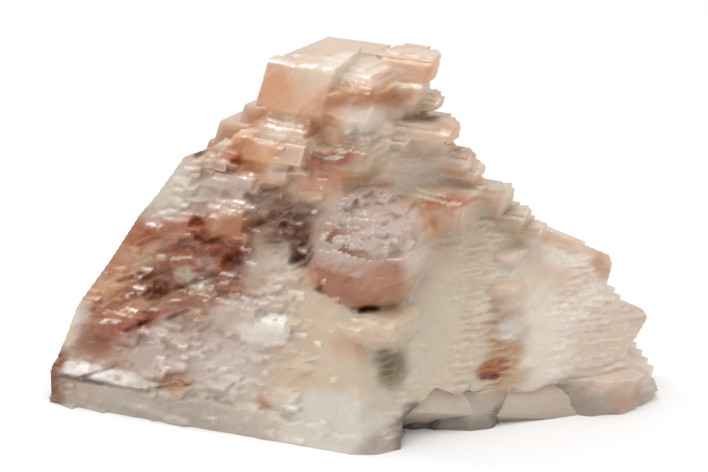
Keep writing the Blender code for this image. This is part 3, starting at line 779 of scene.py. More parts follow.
# the flush teeth lie in the slope, so only their solids are built
def castRightTeeth(field):
    style = toothStyle
    descent = slopeDirection(rightSlope, style["descent"])
    for tooth in rightTeeth.values():
        flush = tooth.get("flush", False)
        axes = (descent, away, up) if flush else lattice
        corner = onFront(*tooth["at"], style["sunk"] if flush else tooth["out"]) - axes[0] * style["root"]
        acrossLength, upLength, awayLength = tooth["size"]
        look = dict(style["look"], strength=tooth["stain"])
        look["body"] = tooth.get("body", look["body"])
        for step in range(tooth["steps"]):
            stepCorner = corner + away * (step * (awayLength - style["lap"]))
            stepCorner += (axes[0] - up) * (style["slip"] * step)
            size = (acrossLength + style["root"] - step * style["shrink"], upLength, awayLength)
            if flush:
                stepCorner -= axes[0] * style["held"] + up * style["held"]
            else:
                castCrystal(field, stepCorner, size, look, "bright", melt=style["melt"], cuts=style["cuts"])
            addBacking(stepCorner, size, look, axes)


# shingles over the left slope, from broad lozenges down to grains
leftGrowth = {
    "shingles": {"count": 230, "width": (3.0, 12), "height": (1.0, 3.4), "depth": 9, "standOut": (0.0, 1.2),
                 "drift": 1.8, "sink": 0.2, "flowing": False, "round": (1.12, 1.4), "turn": 7},
    "grains": {"count": 500, "width": (0.8, 4.0), "height": (0.5, 1.6), "depth": 4, "standOut": (0.0, 0.6),
               "drift": 2.2, "sink": 0.15, "flowing": False, "round": (1.15, 1.4), "turn": 9},
    "slivers": {"count": 900, "width": (1.6, 10), "height": (0.3, 1.3), "depth": 4, "standOut": (0.1, 0.9),
                "drift": 1.6, "sink": 0.02, "flowing": True, "round": (1.1, 1.3), "turn": 6},
}
leftStyle = {"highest": 66, "beyond": 2, "vary": (0.6, 1.3), "least": 0.4, "melt": 0.25}


def castLeftGrowth(field, growth):
    (narrow, wide), (low, high) = growth["width"], growth["height"]
    for _ in range(growth["count"]):
        z = random.uniform(0, leftStyle["highest"])
        left = between(specimen["leftLimit"], z) - leftStyle["beyond"]
        x = random.uniform(left, between(specimen["growthLimit"], z))
        large = random.random() ** growth["drift"]
        width = narrow + large * (wide - narrow)
        height = low + large * (high - low) * random.uniform(*leftStyle["vary"])
        out = random.uniform(*growth["standOut"]) * (leftStyle["least"] + large) + softAt(x, z)
        out -= width * growth["sink"]
        width = min(width, max(narrow, (ridgePlace(z) - x) / across.x))
        axes = lattice
        if growth["flowing"]:
            axes = (slopeDirection(leftSlope, random.uniform(*flow["rise"])), away, up)
        roundness = random.uniform(*growth["round"])
        size = (width, height, growth["depth"])
        castCrystal(field, onFront(x, z, out), size, None, "crisp", growth["turn"], leftStyle["melt"], axes,
                    True, roundness=roundness)


# striations over the right slope, row above row
striations = {"from": 3.0, "to": 72, "rows": 0.8, "before": 1, "end": 60, "width": (1.2, 6.0),
              "height": (0.4, 0.8), "depth": 3, "standOut": (0.0, 0.09), "skew": 0.12, "turn": 2.5,
              "melt": 0.45, "spacing": (0.7, 1.2)}


def castRightGrowth(field):
    style = striations
    along = (slopeAlong() * (1 - style["skew"]) + across * style["skew"]).normalized()
    z = style["from"]
    while z < style["to"]:
        x = between(specimen["growthLimit"], z) - style["before"]
        while x < style["end"]:
            width = random.uniform(*style["width"])
            placeZ = z + random.uniform(-0.5, 0.5) * style["rows"]
            out = random.uniform(*style["standOut"]) + softAt(x, placeZ)
            size = (width, random.uniform(*style["height"]), style["depth"])
            castCrystal(field, onFront(x, placeZ, out), size, None, "crisp", style["turn"], style["melt"],
                        (along, away, up), True)
            x += width * random.uniform(*style["spacing"])
        z += style["rows"]


# broad cleavage blocks of the back
rearGrowth = {"rows": (4, 60), "rowHeight": 4.5, "width": (4, 19), "height": (3, 13), "depth": 16,
              "standOut": (-1.5, 2.0), "drop": (-1.5, 1.5), "start": (0, 3), "gap": 0.75, "lean": 0.12,
              "taper": 0.10, "left": [(-52, 0), (-26, 40), (-12, 60)], "right": [(50, 0), (24, 40), (4, 60)],
              "bodies": ("cream", "shell", "ivory", "blush"), "own": 0.7, "turn": 1}


def growRear():
    growth = rearGrowth
    z, endZ = growth["rows"]
    while z <= endZ:
        x = between(growth["left"], z) + random.uniform(*growth["start"])
        while x < between(growth["right"], z):
            width = random.uniform(*growth["width"])
            depth = specimen["rearDepth"] - growth["lean"] * z - growth["taper"] * abs(x)
            far = Vector((x, depth + random.uniform(*growth["standOut"]), z))
            far.z += random.uniform(*growth["drop"])
            corner = far - away * growth["depth"] - across * (width / 2)
            look = {"body": random.choice(growth["bodies"]), "own": growth["own"]}
            size = (width, random.uniform(*growth["height"]), growth["depth"])
            addCrystal(corner, size, look, "soft", growth["turn"])
            x += width * across.x * growth["gap"]
        z += growth["rowHeight"]


# each cell takes a share of its neighbours
def blur(values):
    padded = np.pad(values, 1, mode="edge")
    values = (padded[:-2, 1:-1] + 2 * padded[1:-1, 1:-1] + padded[2:, 1:-1]) / 4
    padded = np.pad(values, 1, mode="edge")
    return (padded[1:-1, :-2] + 2 * padded[1:-1, 1:-1] + padded[1:-1, 2:]) / 4


pinchRounds = 4


# cells that touch only at a corner would pinch the solid, so their neighbour is filled in
def fillPinches(covered):
    for _ in range(pinchRounds):
        one, two = covered[:-1, :-1], covered[1:, 1:]
        three, four = covered[:-1, 1:], covered[1:, :-1]
        rising = one & two & ~three & ~four
        covered[:-1, 1:] |= rising
        falling = three & four & ~one & ~two
        covered[:-1, :-1] |= falling
    return covered


# stone under and beside an overhang leans back gradually instead of dropping away
def leanBack(field):
    depth, marks = field["depth"], [field[name] for name in ("owner", "kind", "rim", "along")]
    cell, fall = sheet["cell"], sheet["fall"]
    for row in range(depth.shape[0] - 2, -1, -1):
        limit = depth[row + 1] + fall["down"] * cell
        nearer = limit < depth[row]
        depth[row] = np.where(nearer, limit, depth[row])
        for mark in marks:
            mark[row] = np.where(nearer, mark[row + 1], mark[row])
    for column in range(depth.shape[1] - 2, -1, -1):
        depth[:, column] = np.minimum(depth[:, column], depth[:, column + 1] + fall["left"] * cell)
    for column in range(1, depth.shape[1]):
        depth[:, column] = np.minimum(depth[:, column], depth[:, column - 1] + fall["right"] * cell)


# small grains sitting on whatever is there, fewer on the clean fronts of the large crystals
dust = {"count": 2800, "lowest": 5, "highest": 56, "spared": 0.9, "width": (0.7, 4.0), "height": (0.25, 1.0),
        "depth": 2, "standOut": (0.0, 0.35), "drift": 2, "turn": 4, "melt": 0.15}


def dustGrains(field):
    rows, columns = field["x"].shape
    for _ in range(dust["count"]):
        row, column = random.randrange(rows), random.randrange(columns)
        look = field["looks"][field["owner"][row, column]]
        x, t, depth = (float(field[name][row, column]) for name in ("x", "t", "depth"))
        z = heightAt(t, depth)
        onSlope = x < between(specimen["growthLimit"], z) and dust["lowest"] < z < dust["highest"]
        cleanFront = "body" in look and field["kind"][row, column] == 0
        if not onSlope or cleanFront and random.random() < dust["spared"]:
            continue
        large = random.random() ** dust["drift"]
        width, height = (low + large * (high - low) for low, high in (dust["width"], dust["height"]))
        corner = inView(x, t, depth - random.uniform(*dust["standOut"]))
        castCrystal(field, corner, (width, height, dust["depth"]), None, "crisp", dust["turn"], dust["melt"],
                    None, True)


# thin broken slabs along the foot band, and small bright chips where the light catches the crystals, their
# pale body a painted highlight
chips = {
    "bandSlabs": {"count": 150, "x": (-64, 0), "up": (0.5, 17.5), "slope": -0.2, "standOut": (-0.5, 0.12),
                  "size": ((1.0, 5.0), (0.3, 1.3), 2.0), "look": None, "seed": "crisp", "highest": 7.0},
    "glints": {"count": 110, "x": (-56, 6), "up": (16, 66), "slope": 0, "standOut": (0.1, 0.3),
               "size": ((0.8, 3.2), (0.5, 1.0), 1.6), "look": {"body": "pale", "own": 0.5}, "seed": "bright",
               "highest": 80},
}
chipsBeyond = 10


def scatterChips(field, style):
    for _ in range(style["count"]):
        x, t = random.uniform(*style["x"]), random.uniform(*style["up"])
        t += style["slope"] * (x - style["x"][0])
        if not isInside(np.array([x]), np.array([t]), outlineCorners)[0]:
            continue
        height = heightAt(t, float(field["depth"][cellAt(x, t)]))
        if height > style["highest"] or x > between(specimen["growthLimit"], height) + chipsBeyond:
            continue
        widths, heights, deep = style["size"]
        size = (random.uniform(*widths), random.uniform(*heights), deep)
        castOnSurface(field, x, t, size, random.uniform(*style["standOut"]), style["look"], style["seed"])


# dark crevices, carved in and darkened with painted shade: place across and up in the view, reach, how deep
# and how dark
crevices = [
    (1.2, 30.2, 3.2, 0.7, 2, 1), (-7.5, 33.7, 1.1, 0.8, 1.4, 0.9), (-12.4, 41.5, 1.4, 2.4, 2.2, 0.6),
    (-25.4, 39.5, 2, 1.5, 1.4, 0.35), (-39.9, 33.3, 2.6, 1.2, 1.2, 0.8), (-55, 16, 5.5, 0.5, 0.6, 0.7),
    (-32, 60.6, 1.8, 0.7, 0.8, 0.6), (26.6, 16.4, 2.2, 0.9, 0.9, 0.6), (-31.8, 35.5, 5, 0.7, 0.8, 0.6),
    (-45, 26.2, 3.6, 0.5, 0.8, 0.7), (-19, 10.6, 1, 0.8, 0.3, 0.5), (-20.5, 46.5, 3, 0.5, 0.8, 0.5),
    (-46, 36, 3.4, 0.5, 0.8, 0.5), (-36, 28.6, 4.2, 0.5, 0.7, 0.6), (-29, 43.5, 3.2, 0.6, 0.8, 0.6),
]
# those left of the limit run up to the right
creviceStyle = {"wobble": 0.8, "grain": 1.6, "rise": 0.35, "leftOf": -15, "edge": (1.3, 0.4)}


def carveCrevices(field):
    style, field["hollowShade"] = creviceStyle, np.zeros(field["x"].shape)
    flowing = alongFlow(field["x"], field["t"])
    ragged = waver(*flowing, style["grain"], cloudSeeds["crevices"], style["wobble"])
    for placeX, placeT, reachX, reachT, deep, hollowShade in crevices:
        offX = field["x"] - placeX
        offT = field["t"] - placeT - offX * style["rise"] * (placeX < style["leftOf"])
        inside = smooth(*style["edge"], np.hypot(offX / reachX, offT / reachT) + ragged)
        field["depth"] += inside * deep
        field["hollowShade"] = np.maximum(field["hollowShade"], inside * hollowShade)


surfaceGrain = {"scale": 1.3, "reach": 0.05}


def growSheet():
    field = startField()
    castLeftGrowth(field, leftGrowth["shingles"])
    castLeftGrowth(field, leftGrowth["grains"])
    castRightGrowth(field)
    castLeftGrowth(field, leftGrowth["slivers"])
    castNamedCrystals(field)
    castCentralCrystal(field)
    castRightTeeth(field)
    leanBack(field)
    dustGrains(field)
    scatterChips(field, chips["bandSlabs"])
    scatterChips(field, chips["glints"])
    carveCrevices(field)
    scale, reach = surfaceGrain["scale"], surfaceGrain["reach"]
    field["depth"] += waver(field["x"], field["t"], scale, cloudSeeds["surface"], reach)
    field["depth"] = blur(field["depth"])
    nearest = (specimen["front"] - field["t"] * viewUp.y) / viewIn.y
    field["depth"] = np.maximum(field["depth"], nearest)
    print("crystals cast:", len(field["looks"]))
    return field


# colour patches of the near face: place across and up in the view, reach, tilt, colour, how strong
patches = [
    (41.7, 40.5, 6, 2.6, -20, "pale", 0.8), (57, 15.5, 4, 4, 0, "milk", 0.5),
    (-56.8, 28.4, 2.4, 4.5, 20, "milk", 0.85), (-16.6, 73, 6, 4.8, 10, "honey", 0.95),
    (-9.5, 75, 3.5, 4.5, 0, "shell", 0.5), (-7.6, 68.4, 5.2, 2.8, 48, "honey", 0.75),
    (1, 70.9, 7.5, 1.7, 8, "sienna", 0.85), (2, 66.4, 6, 3.2, 0, "pale", 0.8),
    (-3.5, 80.5, 8, 2.8, 8, "shell", 0.7), (0.5, 77, 7, 3, 0, "pale", 0.7),
    (11, 78.3, 5, 1.6, -14, "peach", 0.8), (13, 75.6, 3, 1.2, -10, "honey", 0.6),
    (-18.5, 58.5, 5.5, 3.6, 10, "honey", 0.9), (-23.4, 60.5, 3.2, 3.2, 10, "amber", 0.95),
    (-16.5, 60, 4.5, 2.6, 0, "apricot", 0.6), (-15.5, 56.8, 2.6, 2.3, 0, "glass", 0.7),
    (-4.6, 59.2, 6, 1.5, 6, "rust", 0.9), (-5.5, 55.8, 7, 1.2, 4, "honey", 0.85),
    (-4.8, 57.5, 6, 0.6, 4, "blush", 0.3), (3, 57.5, 4, 3, 0, "shell", 0.6),
    (11.5, 67, 4.5, 2, 0, "glass", 0.7), (18.2, 66, 2.4, 2, 0, "honey", 0.6),
    (20.8, 60.1, 3, 1.5, 10, "amber", 0.8), (10, 60, 6, 3.4, 0, "pale", 0.6),
    (18.5, 57.5, 5, 3, 0, "pale", 0.4), (16.5, 50.8, 6.5, 1.5, 6, "amber", 0.9),
    (14, 46.6, 3.4, 2.6, 0, "honey", 0.6), (24, 54, 4, 2, 0, "glass", 0.5),
    (-31.8, 46, 2.6, 3, 20, "rust", 0.95), (-25, 45.2, 5, 2.4, 15, "sienna", 0.8),
    (-24.5, 51.4, 6.8, 2, 6, "blush", 0.75), (-26.2, 55.2, 5.4, 1.5, 0, "blush", 0.75),
    (-38.9, 46, 6.2, 1.5, 8, "rust", 0.85), (-39.5, 48.4, 6, 1, 4, "blush", 0.6),
    (-37.9, 54.2, 6, 4.6, 35, "cream", 0.85), (-14.7, 46.8, 4, 5, 70, "taupe", 0.75),
    (-6.6, 36.5, 4.2, 3.4, 0, "sienna", 0.8), (5.2, 35.4, 6, 4.2, 10, "sienna", 0.75),
    (-2, 32.8, 5, 1.6, -10, "rust", 0.6), (2.6, 47.4, 7, 4.4, 0, "blush", 0.8),
    (-7.4, 46, 2.2, 4.2, -10, "tan", 0.7), (-35.3, 31.6, 5.6, 1.7, 6, "umber", 0.9),
    (-49.5, 25.6, 5.5, 3.6, 20, "umber", 0.45), (-50, 27.2, 6.4, 2.4, 20, "rust", 0.85),
    (-45, 37.9, 6.5, 1.2, 22, "golden", 0.75), (-41.9, 41.9, 6, 0.9, 20, "peach", 0.7),
    (-52, 33.5, 4.5, 1.5, 25, "apricot", 0.75), (-30.6, 39.2, 1.6, 2, 60, "blush", 0.6),
    (-20.5, 38.5, 5, 2.4, 30, "cream", 0.5), (11.1, 42.5, 2.4, 8, 0, "glass", 0.7),
    (-51.5, 23.6, 6.5, 2.2, 25, "umber", 0.85), (-44, 27, 6, 1.6, 20, "rust", 0.8),
    (-45.5, 30.5, 4, 1.2, 25, "golden", 0.6), (-19.3, 31, 4.2, 1.5, 10, "blush", 0.7),
    (-19.3, 24.6, 4.6, 2.4, -4, "pale", 0.9), (-26, 19.5, 12, 4.6, 10, "blush", 0.5),
    (-43.5, 21.5, 6, 3.4, 15, "blush", 0.6), (6.9, 16.5, 2.8, 2.6, 30, "olive", 0.5),
    (1.4, 26.5, 7, 1.3, 4, "shell", 0.7), (-2, 22.6, 4, 2.2, -20, "honey", 0.45),
    (49.6, 37.8, 1.6, 2.6, 30, "amber", 0.6), (40.5, 43, 5, 1, -20, "peach", 0.6),
    (-53, 15.6, 7.5, 0.5, -12, "white", 0.7), (22, 55.5, 5, 1.2, -30, "peach", 0.5),
    (-48, 12, 11, 1.1, -12, "blush", 0.7), (-34, 8.4, 8, 1, -14, "ash", 0.5),
    (-22, 4.8, 10, 1.2, -14, "blush", 0.6), (-58, 13.4, 3, 2, 0, "tan", 0.5),
    (-8, 1.5, 9, 2.6, -12, "pale", 0.6), (-44, 9, 5, 0.8, -10, "taupe", 0.3),
    (31, 30.5, 3, 1, 10, "pale", 0.6),
]
patchStyle = {"wobble": 0.5, "grain": 2.2, "soft": 0.55, "unstained": 0.8}


def paintPatches(field, body, strength):
    style, x, t = patchStyle, field["x"].ravel(), field["t"].ravel()
    ragged = waver(*alongFlow(x, t), style["grain"], cloudSeeds["patches"], style["wobble"])
    for placeX, placeT, reachX, reachT, tilt, name, amount in patches:
        offX, offT = x - placeX, t - placeT
        turnedX = offX * cos(radians(tilt)) + offT * sin(radians(tilt))
        turnedT = offT * cos(radians(tilt)) - offX * sin(radians(tilt))
        reach = np.hypot(turnedX / reachX, turnedT / reachT)
        weight = amount * smooth(1 + style["soft"], 1 - style["soft"], reach + ragged)
        body += weight[:, None] * (tint(name) - body)
        strength *= 1 - style["unstained"] * weight


# how much of the stain shows on each facet of a crystal; tops and bright strips keep less, partly as painted
# reflected light
facetStain = {"settle": 0.35, "top": 0.4, "strip": 0.6, "right": 0.35, "frontRight": 0.35, "topRight": 0.3}
# what a cell takes where its crystal's look says nothing, and how much crystals differ in shade
cellMarks = {"own": 0.8, "centre": 0.5, "spread": 1.2, "rim": 0.5, "shade": 0.5}
shadeStyle = {"body": (0.92, 0.16), "strength": (0.75, 0.5)}
# how strongly the bright strips are marked; the mark paints a glint into their colour and makes them glossier
glintStripStyle = {"unnamed": 0.15, "edge": (0.3, 0.6), "grain": 2.6}


# stone colours of every cell: its crystal's own look over the zone it lies in, with painted shade in the
# crevices and the mark of the bright strips that the shader whitens as a painted glint
def sheetLook(field, place):
    looks, owner = field["looks"], field["owner"].ravel()
    body, stain, strength, frost = zoneLook(place[:, 0], place[:, 2])
    marks = {name: np.array([look.get(name, usual) for look in looks]) for name, usual in cellMarks.items()}
    for name, values in (("body", body), ("stain", stain), ("strength", strength), ("frost", frost)):
        share = np.array([name in look for look in looks]) * marks["own"]
        if values.ndim > 1:
            named = np.array([tint(look[name]) if name in look else (0, 0, 0) for look in looks])
            values += share[owner, None] * (named[owner] - values)
        else:
            named = np.array([look.get(name, 0) for look in looks])
            values += share[owner] * (named[owner] - values)
    (bodyLow, bodyRise), (strengthLow, strengthRise) = shadeStyle["body"], shadeStyle["strength"]
    shade = marks["shade"][owner]
    body *= (bodyLow + bodyRise * shade)[:, None]
    strength *= strengthLow + strengthRise * shade
    stained = np.array([facetStain.get(name, 1.0) for name in facetNames])
    strength *= np.where(owner > 0, stained[field["kind"].ravel()], 1.0)
    paintPatches(field, body, strength)
    # painted shade: the crevices are darkened towards the darkest red-brown
    hollowShade = field["hollowShade"].ravel()
    for colour in (body, stain):
        colour += hollowShade[:, None] * (tint("hollowShade") - colour)
    # mark of the bright strips: whitened as a painted glint in the shader, and glossier in the finish
    named = np.array([1.0 if "body" in look else glintStripStyle["unnamed"] for look in looks])[owner]
    strip = (field["kind"].ravel() == facetNames.index("strip")) * (owner > 0) * named
    ragged = cloud(field["x"], field["t"], glintStripStyle["grain"], cloudSeeds["strips"])
    strip = strip * smooth(*glintStripStyle["edge"], ragged).ravel()
    zoning = np.column_stack([marks[name][owner] for name in ("centre", "spread", "rim")] + [strip])
    return body, frost, stain, np.clip(strength, 0, 1), zoning


# a cell carries its distance from the rim as a place on a side that is long beside every rim
cellSide = 1000
alongLimits = (0.03, 0.97)
widestRim = 20
rimSmoothing = {"factor": 0.5, "repeat": 4}


def makeSheet():
    field = growSheet()
    rows, columns = field["x"].shape
    bpy.ops.object.select_all(action="DESELECT")
    bpy.ops.mesh.primitive_grid_add(x_subdivisions=columns - 1, y_subdivisions=rows - 1, size=1)
    skin = bpy.context.object
    skin.name = "nearFace"
    mesh = skin.data
    x, t, depth = (field[name].ravel() for name in ("x", "t", "depth"))
    place = np.outer(x, (1, 0, 0)) + np.outer(t, viewUp[:]) + np.outer(depth, viewIn[:])
    setPlaces(mesh, place)
    owners = cornerVerts(mesh)
    along = np.clip(field["along"].ravel(), *alongLimits) * cellSide
    spot = np.column_stack((along, np.clip(field["rim"].ravel(), 0, widestRim), np.zeros(len(along))))
    marks = [values[owners] for values in sheetLook(field, place)]
    markMesh(mesh, spot[owners], (cellSide,) * 3, *marks)
    covered = fillPinches(field["covered"][:-1, :-1].copy()).ravel()
    setMode("EDIT")
    bpy.ops.mesh.select_mode(type="FACE")
    bpy.ops.mesh.select_all(action="DESELECT")
    setMode("OBJECT")
    mesh.polygons.foreach_set("select", ~covered)
    setMode("EDIT")
    bpy.ops.mesh.delete(type="FACE")
    bpy.ops.mesh.select_all(action="SELECT")
    bpy.ops.mesh.region_to_loop()
    bpy.ops.mesh.vertices_smooth(**rimSmoothing)
    bpy.ops.mesh.select_mode(type="VERT")
    bpy.ops.mesh.select_all(action="SELECT")
    deep = viewIn * sheet["thickness"] * mm
    bpy.ops.mesh.extrude_region_move(TRANSFORM_OT_translate={"value": deep[:]})
    bpy.ops.mesh.select_all(action="SELECT")
    bpy.ops.mesh.normals_make_consistent(inside=False)
    setMode("OBJECT")
    return skin


# the mass behind the crystals
massOutlines = {
    "leftMass": [(-65, 32, -1.5), (-34, 22.5, -1.5), (-22, 16.5, -1.5), (-4, 6.5, -1.5), (3, 7, -1.5),
                 (8, 18.5, -1.5), (30, 61, -1.5), (6, 66, -1.5), (-50, 60, -1.5),
                 (-58, 40, 17), (-50, 42, 30), (-42, 44, 39), (-36, 44, 44), (-50, 52, 22), (-33, 56, 40),
                 (-18, 46, 57), (-14, 57, 57), (-8, 44, 65),
                 (4, 44, 66), (6, 58, 66), (14, 47, 62), (14, 56, 58)],
    "peakMass": [(-15.5, 46, 68.5), (-5, 41.5, 68.5), (-8, 62, 66), (2, 57, 66), (-20, 46, 48), (8, 44, 48),
                 (-16, 59, 40), (14, 57, 40)],
    "rightMass": [(9, 19.4, -1.5), (47, 24.5, -1.5), (54, 27, -1.5), (4.3, 10.5, 7), (52, 31, 7),
                  (7, 62.3, -1.5), (48, 57, -1.5), (54, 38, 5), (10, 46.2, 62.4), (10, 55.7, 58.6),
                  (0, 45.3, 65.5), (0.4, 55.6, 65), (19, 44, 46), (31, 43, 35), (43, 42, 23),
                  (23, 58, 38), (46, 54, 14)],
}
footBlocks = [
    {"outline": [(8.6, 17.0), (15.2, 16.4), (19.0, 26.0), (9.0, 27.0)], "height": 8.0},
    {"outline": [(14.8, 16.9), (21.5, 15.8), (26.8, 17.8), (30.0, 24.5), (21.0, 27.0)], "height": 8.2},
    {"outline": [(31.0, 26.5), (36.0, 24.2), (47.0, 23.0), (53.0, 23.8), (56.0, 26.2), (50.0, 36.0),
                 (33.0, 36.0)], "height": 7.5},
]
footDetail = {"cuts": 9, "uneven": 0.9, "grain": 3.0}
# where a mesh that is no single crystal has its stain: centre, spread, rim and strip (the mark of the painted
# glint)
plainZoning = (0.5, 2.0, 4.0, 0.0)


def markPlain(mesh, side):
    places = getPlaces(mesh)[cornerVerts(mesh)]
    body, stain, strength, frost = zoneLook(places[:, 0], places[:, 2])
    middle = np.full((len(places), 3), side / 2)
    markMesh(mesh, middle, (side,) * 3, body, frost, stain, strength, plainZoning)


hullSide = 40


def makeHull(name, points, group, cuts=0):
    mesh = bpy.data.meshes.new(name)
    mesh.from_pydata([((Vector(point) + specimen["shift"]) * mm)[:] for point in points], [], [])
    hull = bpy.data.objects.new(name, mesh)
    bpy.context.scene.collection.objects.link(hull)
    selectOnly(hull)
    setMode("EDIT")
    bpy.ops.mesh.select_all(action="SELECT")
    bpy.ops.mesh.convex_hull()
    bpy.ops.mesh.normals_make_consistent(inside=False)
    if cuts:
        bpy.ops.mesh.subdivide(number_cuts=cuts)
    setMode("OBJECT")
    if cuts:
        points = meshPoints(mesh)
        x, z = points[:, 0] / mm, points[:, 2] / mm
        points[:, 1] += waver(x, z, footDetail["grain"], cloudSeeds["foot"], footDetail["uneven"]) * mm
        mesh.vertices.foreach_set("co", points.ravel())
    markPlain(mesh, hullSide)
    if group:
        bpy.context.scene.collection.objects.unlink(hull)
        group.objects.link(hull)
    return hull


def growFoot():
    for block in footBlocks:
        low = [Vector((x, y, specimen["foot"])) for x, y in block["outline"]]
        top = [point + up * (block["height"] - specimen["foot"]) for point in low]
        makeHull("footBlock", low + top, crystalGroup, footDetail["cuts"])


def joinBoolean(target, operation, group=None, other=None):
    step = target.modifiers.new(operation, "BOOLEAN")
    step.operation = operation
    step.solver = "MANIFOLD"
    if group:
        step.operand_type = "COLLECTION"
        step.collection = group
    else:
        step.object = other
    selectOnly(target)
    bpy.ops.object.modifier_apply(modifier=step.name)
    if other:
        bpy.data.objects.remove(other, do_unlink=True)


def makeBlock(frameMatrix, size, cuts):
    bpy.ops.object.select_all(action="DESELECT")
    bpy.ops.mesh.primitive_cube_add(size=1)
    block = bpy.context.object
    bpy.ops.transform.resize(value=size)
    setMode("EDIT")
    bpy.ops.mesh.subdivide(number_cuts=cuts)
    setMode("OBJECT")
    bpy.ops.object.transform_apply(location=True, rotation=True, scale=True)
    block.data.transform(frameMatrix)
    markPlain(block.data, cellSide)
    return block


# blocks that are cut away, in metres, but for the first one's way out in millimetres
leftBlock = {"outward": 20, "size": (0.04, 0.3, 0.3), "cuts": 60}
groundBlock = {"at": (0, 0, -0.02), "size": (0.3, 0.3, 0.04), "cuts": 1}


def makeLeftBreak():
    low, high = [onFront(x, z, 0) for x, z in specimen["leftBreak"]]
    back = specimen["breakBack"].normalized()
    outward = (high - low).normalized().cross(back).normalized()
    turn = Matrix((outward, back, outward.cross(back))).transposed().to_4x4()
    turn.translation = (low + specimen["shift"] + outward * leftBlock["outward"]) * mm
    return makeBlock(turn, leftBlock["size"], leftBlock["cuts"])


def makeGround():
    return makeBlock(Matrix.Translation(groundBlock["at"]), groundBlock["size"], groundBlock["cuts"])


# sealed pockets between crystals are dropped, so that only the outer shell stays
def keepOuterShell(target):
    selectOnly(target)
    setMode("EDIT")
    bpy.ops.mesh.select_all(action="SELECT")
    bpy.ops.mesh.separate(type="LOOSE")
    setMode("OBJECT")
    shells = sorted(bpy.context.selected_objects, key=lambda shell: len(shell.data.vertices))
    for shell in shells[:-1]:
        bpy.data.objects.remove(shell, do_unlink=True)
    triangles = sum(len(face.vertices) - 2 for face in shells[-1].data.polygons)
    print("outer shell:", triangles, "triangles; dropped", len(shells) - 1)
    return shells[-1]


def makeCluster():
    random.seed(specimen["seed"])
    growFoot()
    growRear()
    skin = makeSheet()
    for name in ("rightMass", "peakMass"):
        makeHull(name, massOutlines[name], crystalGroup)
    mass = makeHull("leftMass", massOutlines["leftMass"], None)
    joinBoolean(mass, "UNION", group=crystalGroup)
    joinBoolean(mass, "DIFFERENCE", other=makeLeftBreak())
    joinBoolean(mass, "UNION", other=skin)
    print("crystals joined:", len(mass.data.polygons), "faces")
    joinBoolean(mass, "DIFFERENCE", other=makeGround())
    for crystal in list(crystalGroup.objects):
        bpy.data.objects.remove(crystal, do_unlink=True)
    return keepOuterShell(mass)


cluster = makeCluster()
cluster.name = "calciteCrystals"


# how deep each point lies below the near slopes; the shader deepens the stain there as painted shade
def markPockets(mesh):
    points = getPlaces(mesh)
    below = points[:, 1] - frontDepth(points[:, 0], points[:, 2])
    layer = mesh.attributes.new("below", "FLOAT", "POINT")
    layer.data.foreach_set("value", below.astype(np.float32))


smoothAngle = 24
markPockets(cluster.data)
selectOnly(cluster)
bpy.ops.object.shade_smooth_by_angle(angle=radians(smoothAngle))


# shader helpers
def newGroup(name, inputs, outputs):
    group = bpy.data.node_groups.new(name, "ShaderNodeTree")
    for label, kind in inputs:
        group.interface.new_socket(label, in_out="INPUT", socket_type="NodeSocket" + kind)
    for label, kind in outputs:
        group.interface.new_socket(label, in_out="OUTPUT", socket_type="NodeSocket" + kind)
    return group, group.nodes.new("NodeGroupInput").outputs, group.nodes.new("NodeGroupOutput").inputs


def feed(tree, source, target):
    if isinstance(source, (int, float, tuple)):
        target.default_value = source
    else:
        tree.links.new(source, target)


# a node with its settings, and a value or a link for each input by number or label
def addNode(tree, kind, values, **settings):
    node = tree.nodes.new("ShaderNode" + kind)
    for name, value in settings.items():
        setattr(node, name, value)
    for label, value in values.items():
        feed(tree, value, node.inputs[label])
    return node.outputs


def maths(tree, operation, *values, clamp=False):
    return addNode(tree, "Math", dict(enumerate(values)), operation=operation, use_clamp=clamp)[0]


def plus(tree, *values, clamp=False):
    return maths(tree, "ADD", *values, clamp=clamp)


def minus(tree, *values):
    return maths(tree, "SUBTRACT", *values)


def times(tree, *values):
    return maths(tree, "MULTIPLY", *values)


def shadow(tree, vector, way):
    return addNode(tree, "VectorMath", {0: vector, 1: way}, operation="DOT_PRODUCT")["Value"]


def joined(tree, values):
    return addNode(tree, "CombineXYZ", dict(enumerate(values)))[0]


def parts(tree, vector):
    return addNode(tree, "SeparateXYZ", {0: vector})


def ramp(tree, value, low, high, outLow=0.0, outHigh=1.0):
    limits = {"Value": value, "From Min": low, "From Max": high, "To Min": outLow, "To Max": outHigh}
    return addNode(tree, "MapRange", limits, interpolation_type="SMOOTHSTEP")["Result"]


# a colour mix has its two colours at inputs 6 and 7, and the mixed one at output 2
def blend(tree, amount, first, second, mode="MIX"):
    return addNode(tree, "Mix", {0: amount, 6: first, 7: second}, data_type="RGBA", blend_type=mode)[2]


def grain(tree, vector, scale, detail, distortion):
    values = {"Vector": vector, "Scale": scale, "Detail": detail, "Distortion": distortion}
    return addNode(tree, "TexNoise", values)["Fac"]


def attribute(tree, name, output="Color"):
    return addNode(tree, "Attribute", {}, attribute_name=name)[output]


def fixedTint(name):
    return (*[float(value) for value in tint(name)], 1.0)


# distance in millimetres from a facet's nearest edge
def rimGroup():
    inputs = [("Place", "Vector"), ("Side", "Vector")]
    group, source, sink = newGroup("facetRim", inputs, [("Distance", "Float")])
    place, side = parts(group, source["Place"]), parts(group, source["Side"])
    edges = []
    for axis in range(3):
        far = minus(group, side[axis], place[axis])
        edges.append(maths(group, "MINIMUM", place[axis], far))
    low = maths(group, "MINIMUM", edges[0], edges[1])
    high = maths(group, "MAXIMUM", edges[0], edges[1])
    second = maths(group, "MAXIMUM", low, maths(group, "MINIMUM", high, edges[2]))
    group.links.new(second, sink["Distance"])
    return group


# flat tops look this way, and are pale where they do so within these limits: partly less stain, partly a
# painted reflection of the light from above
topFacing = {"way": (-0.014, 0.073, 0.976), "limits": (0.80, 0.96)}


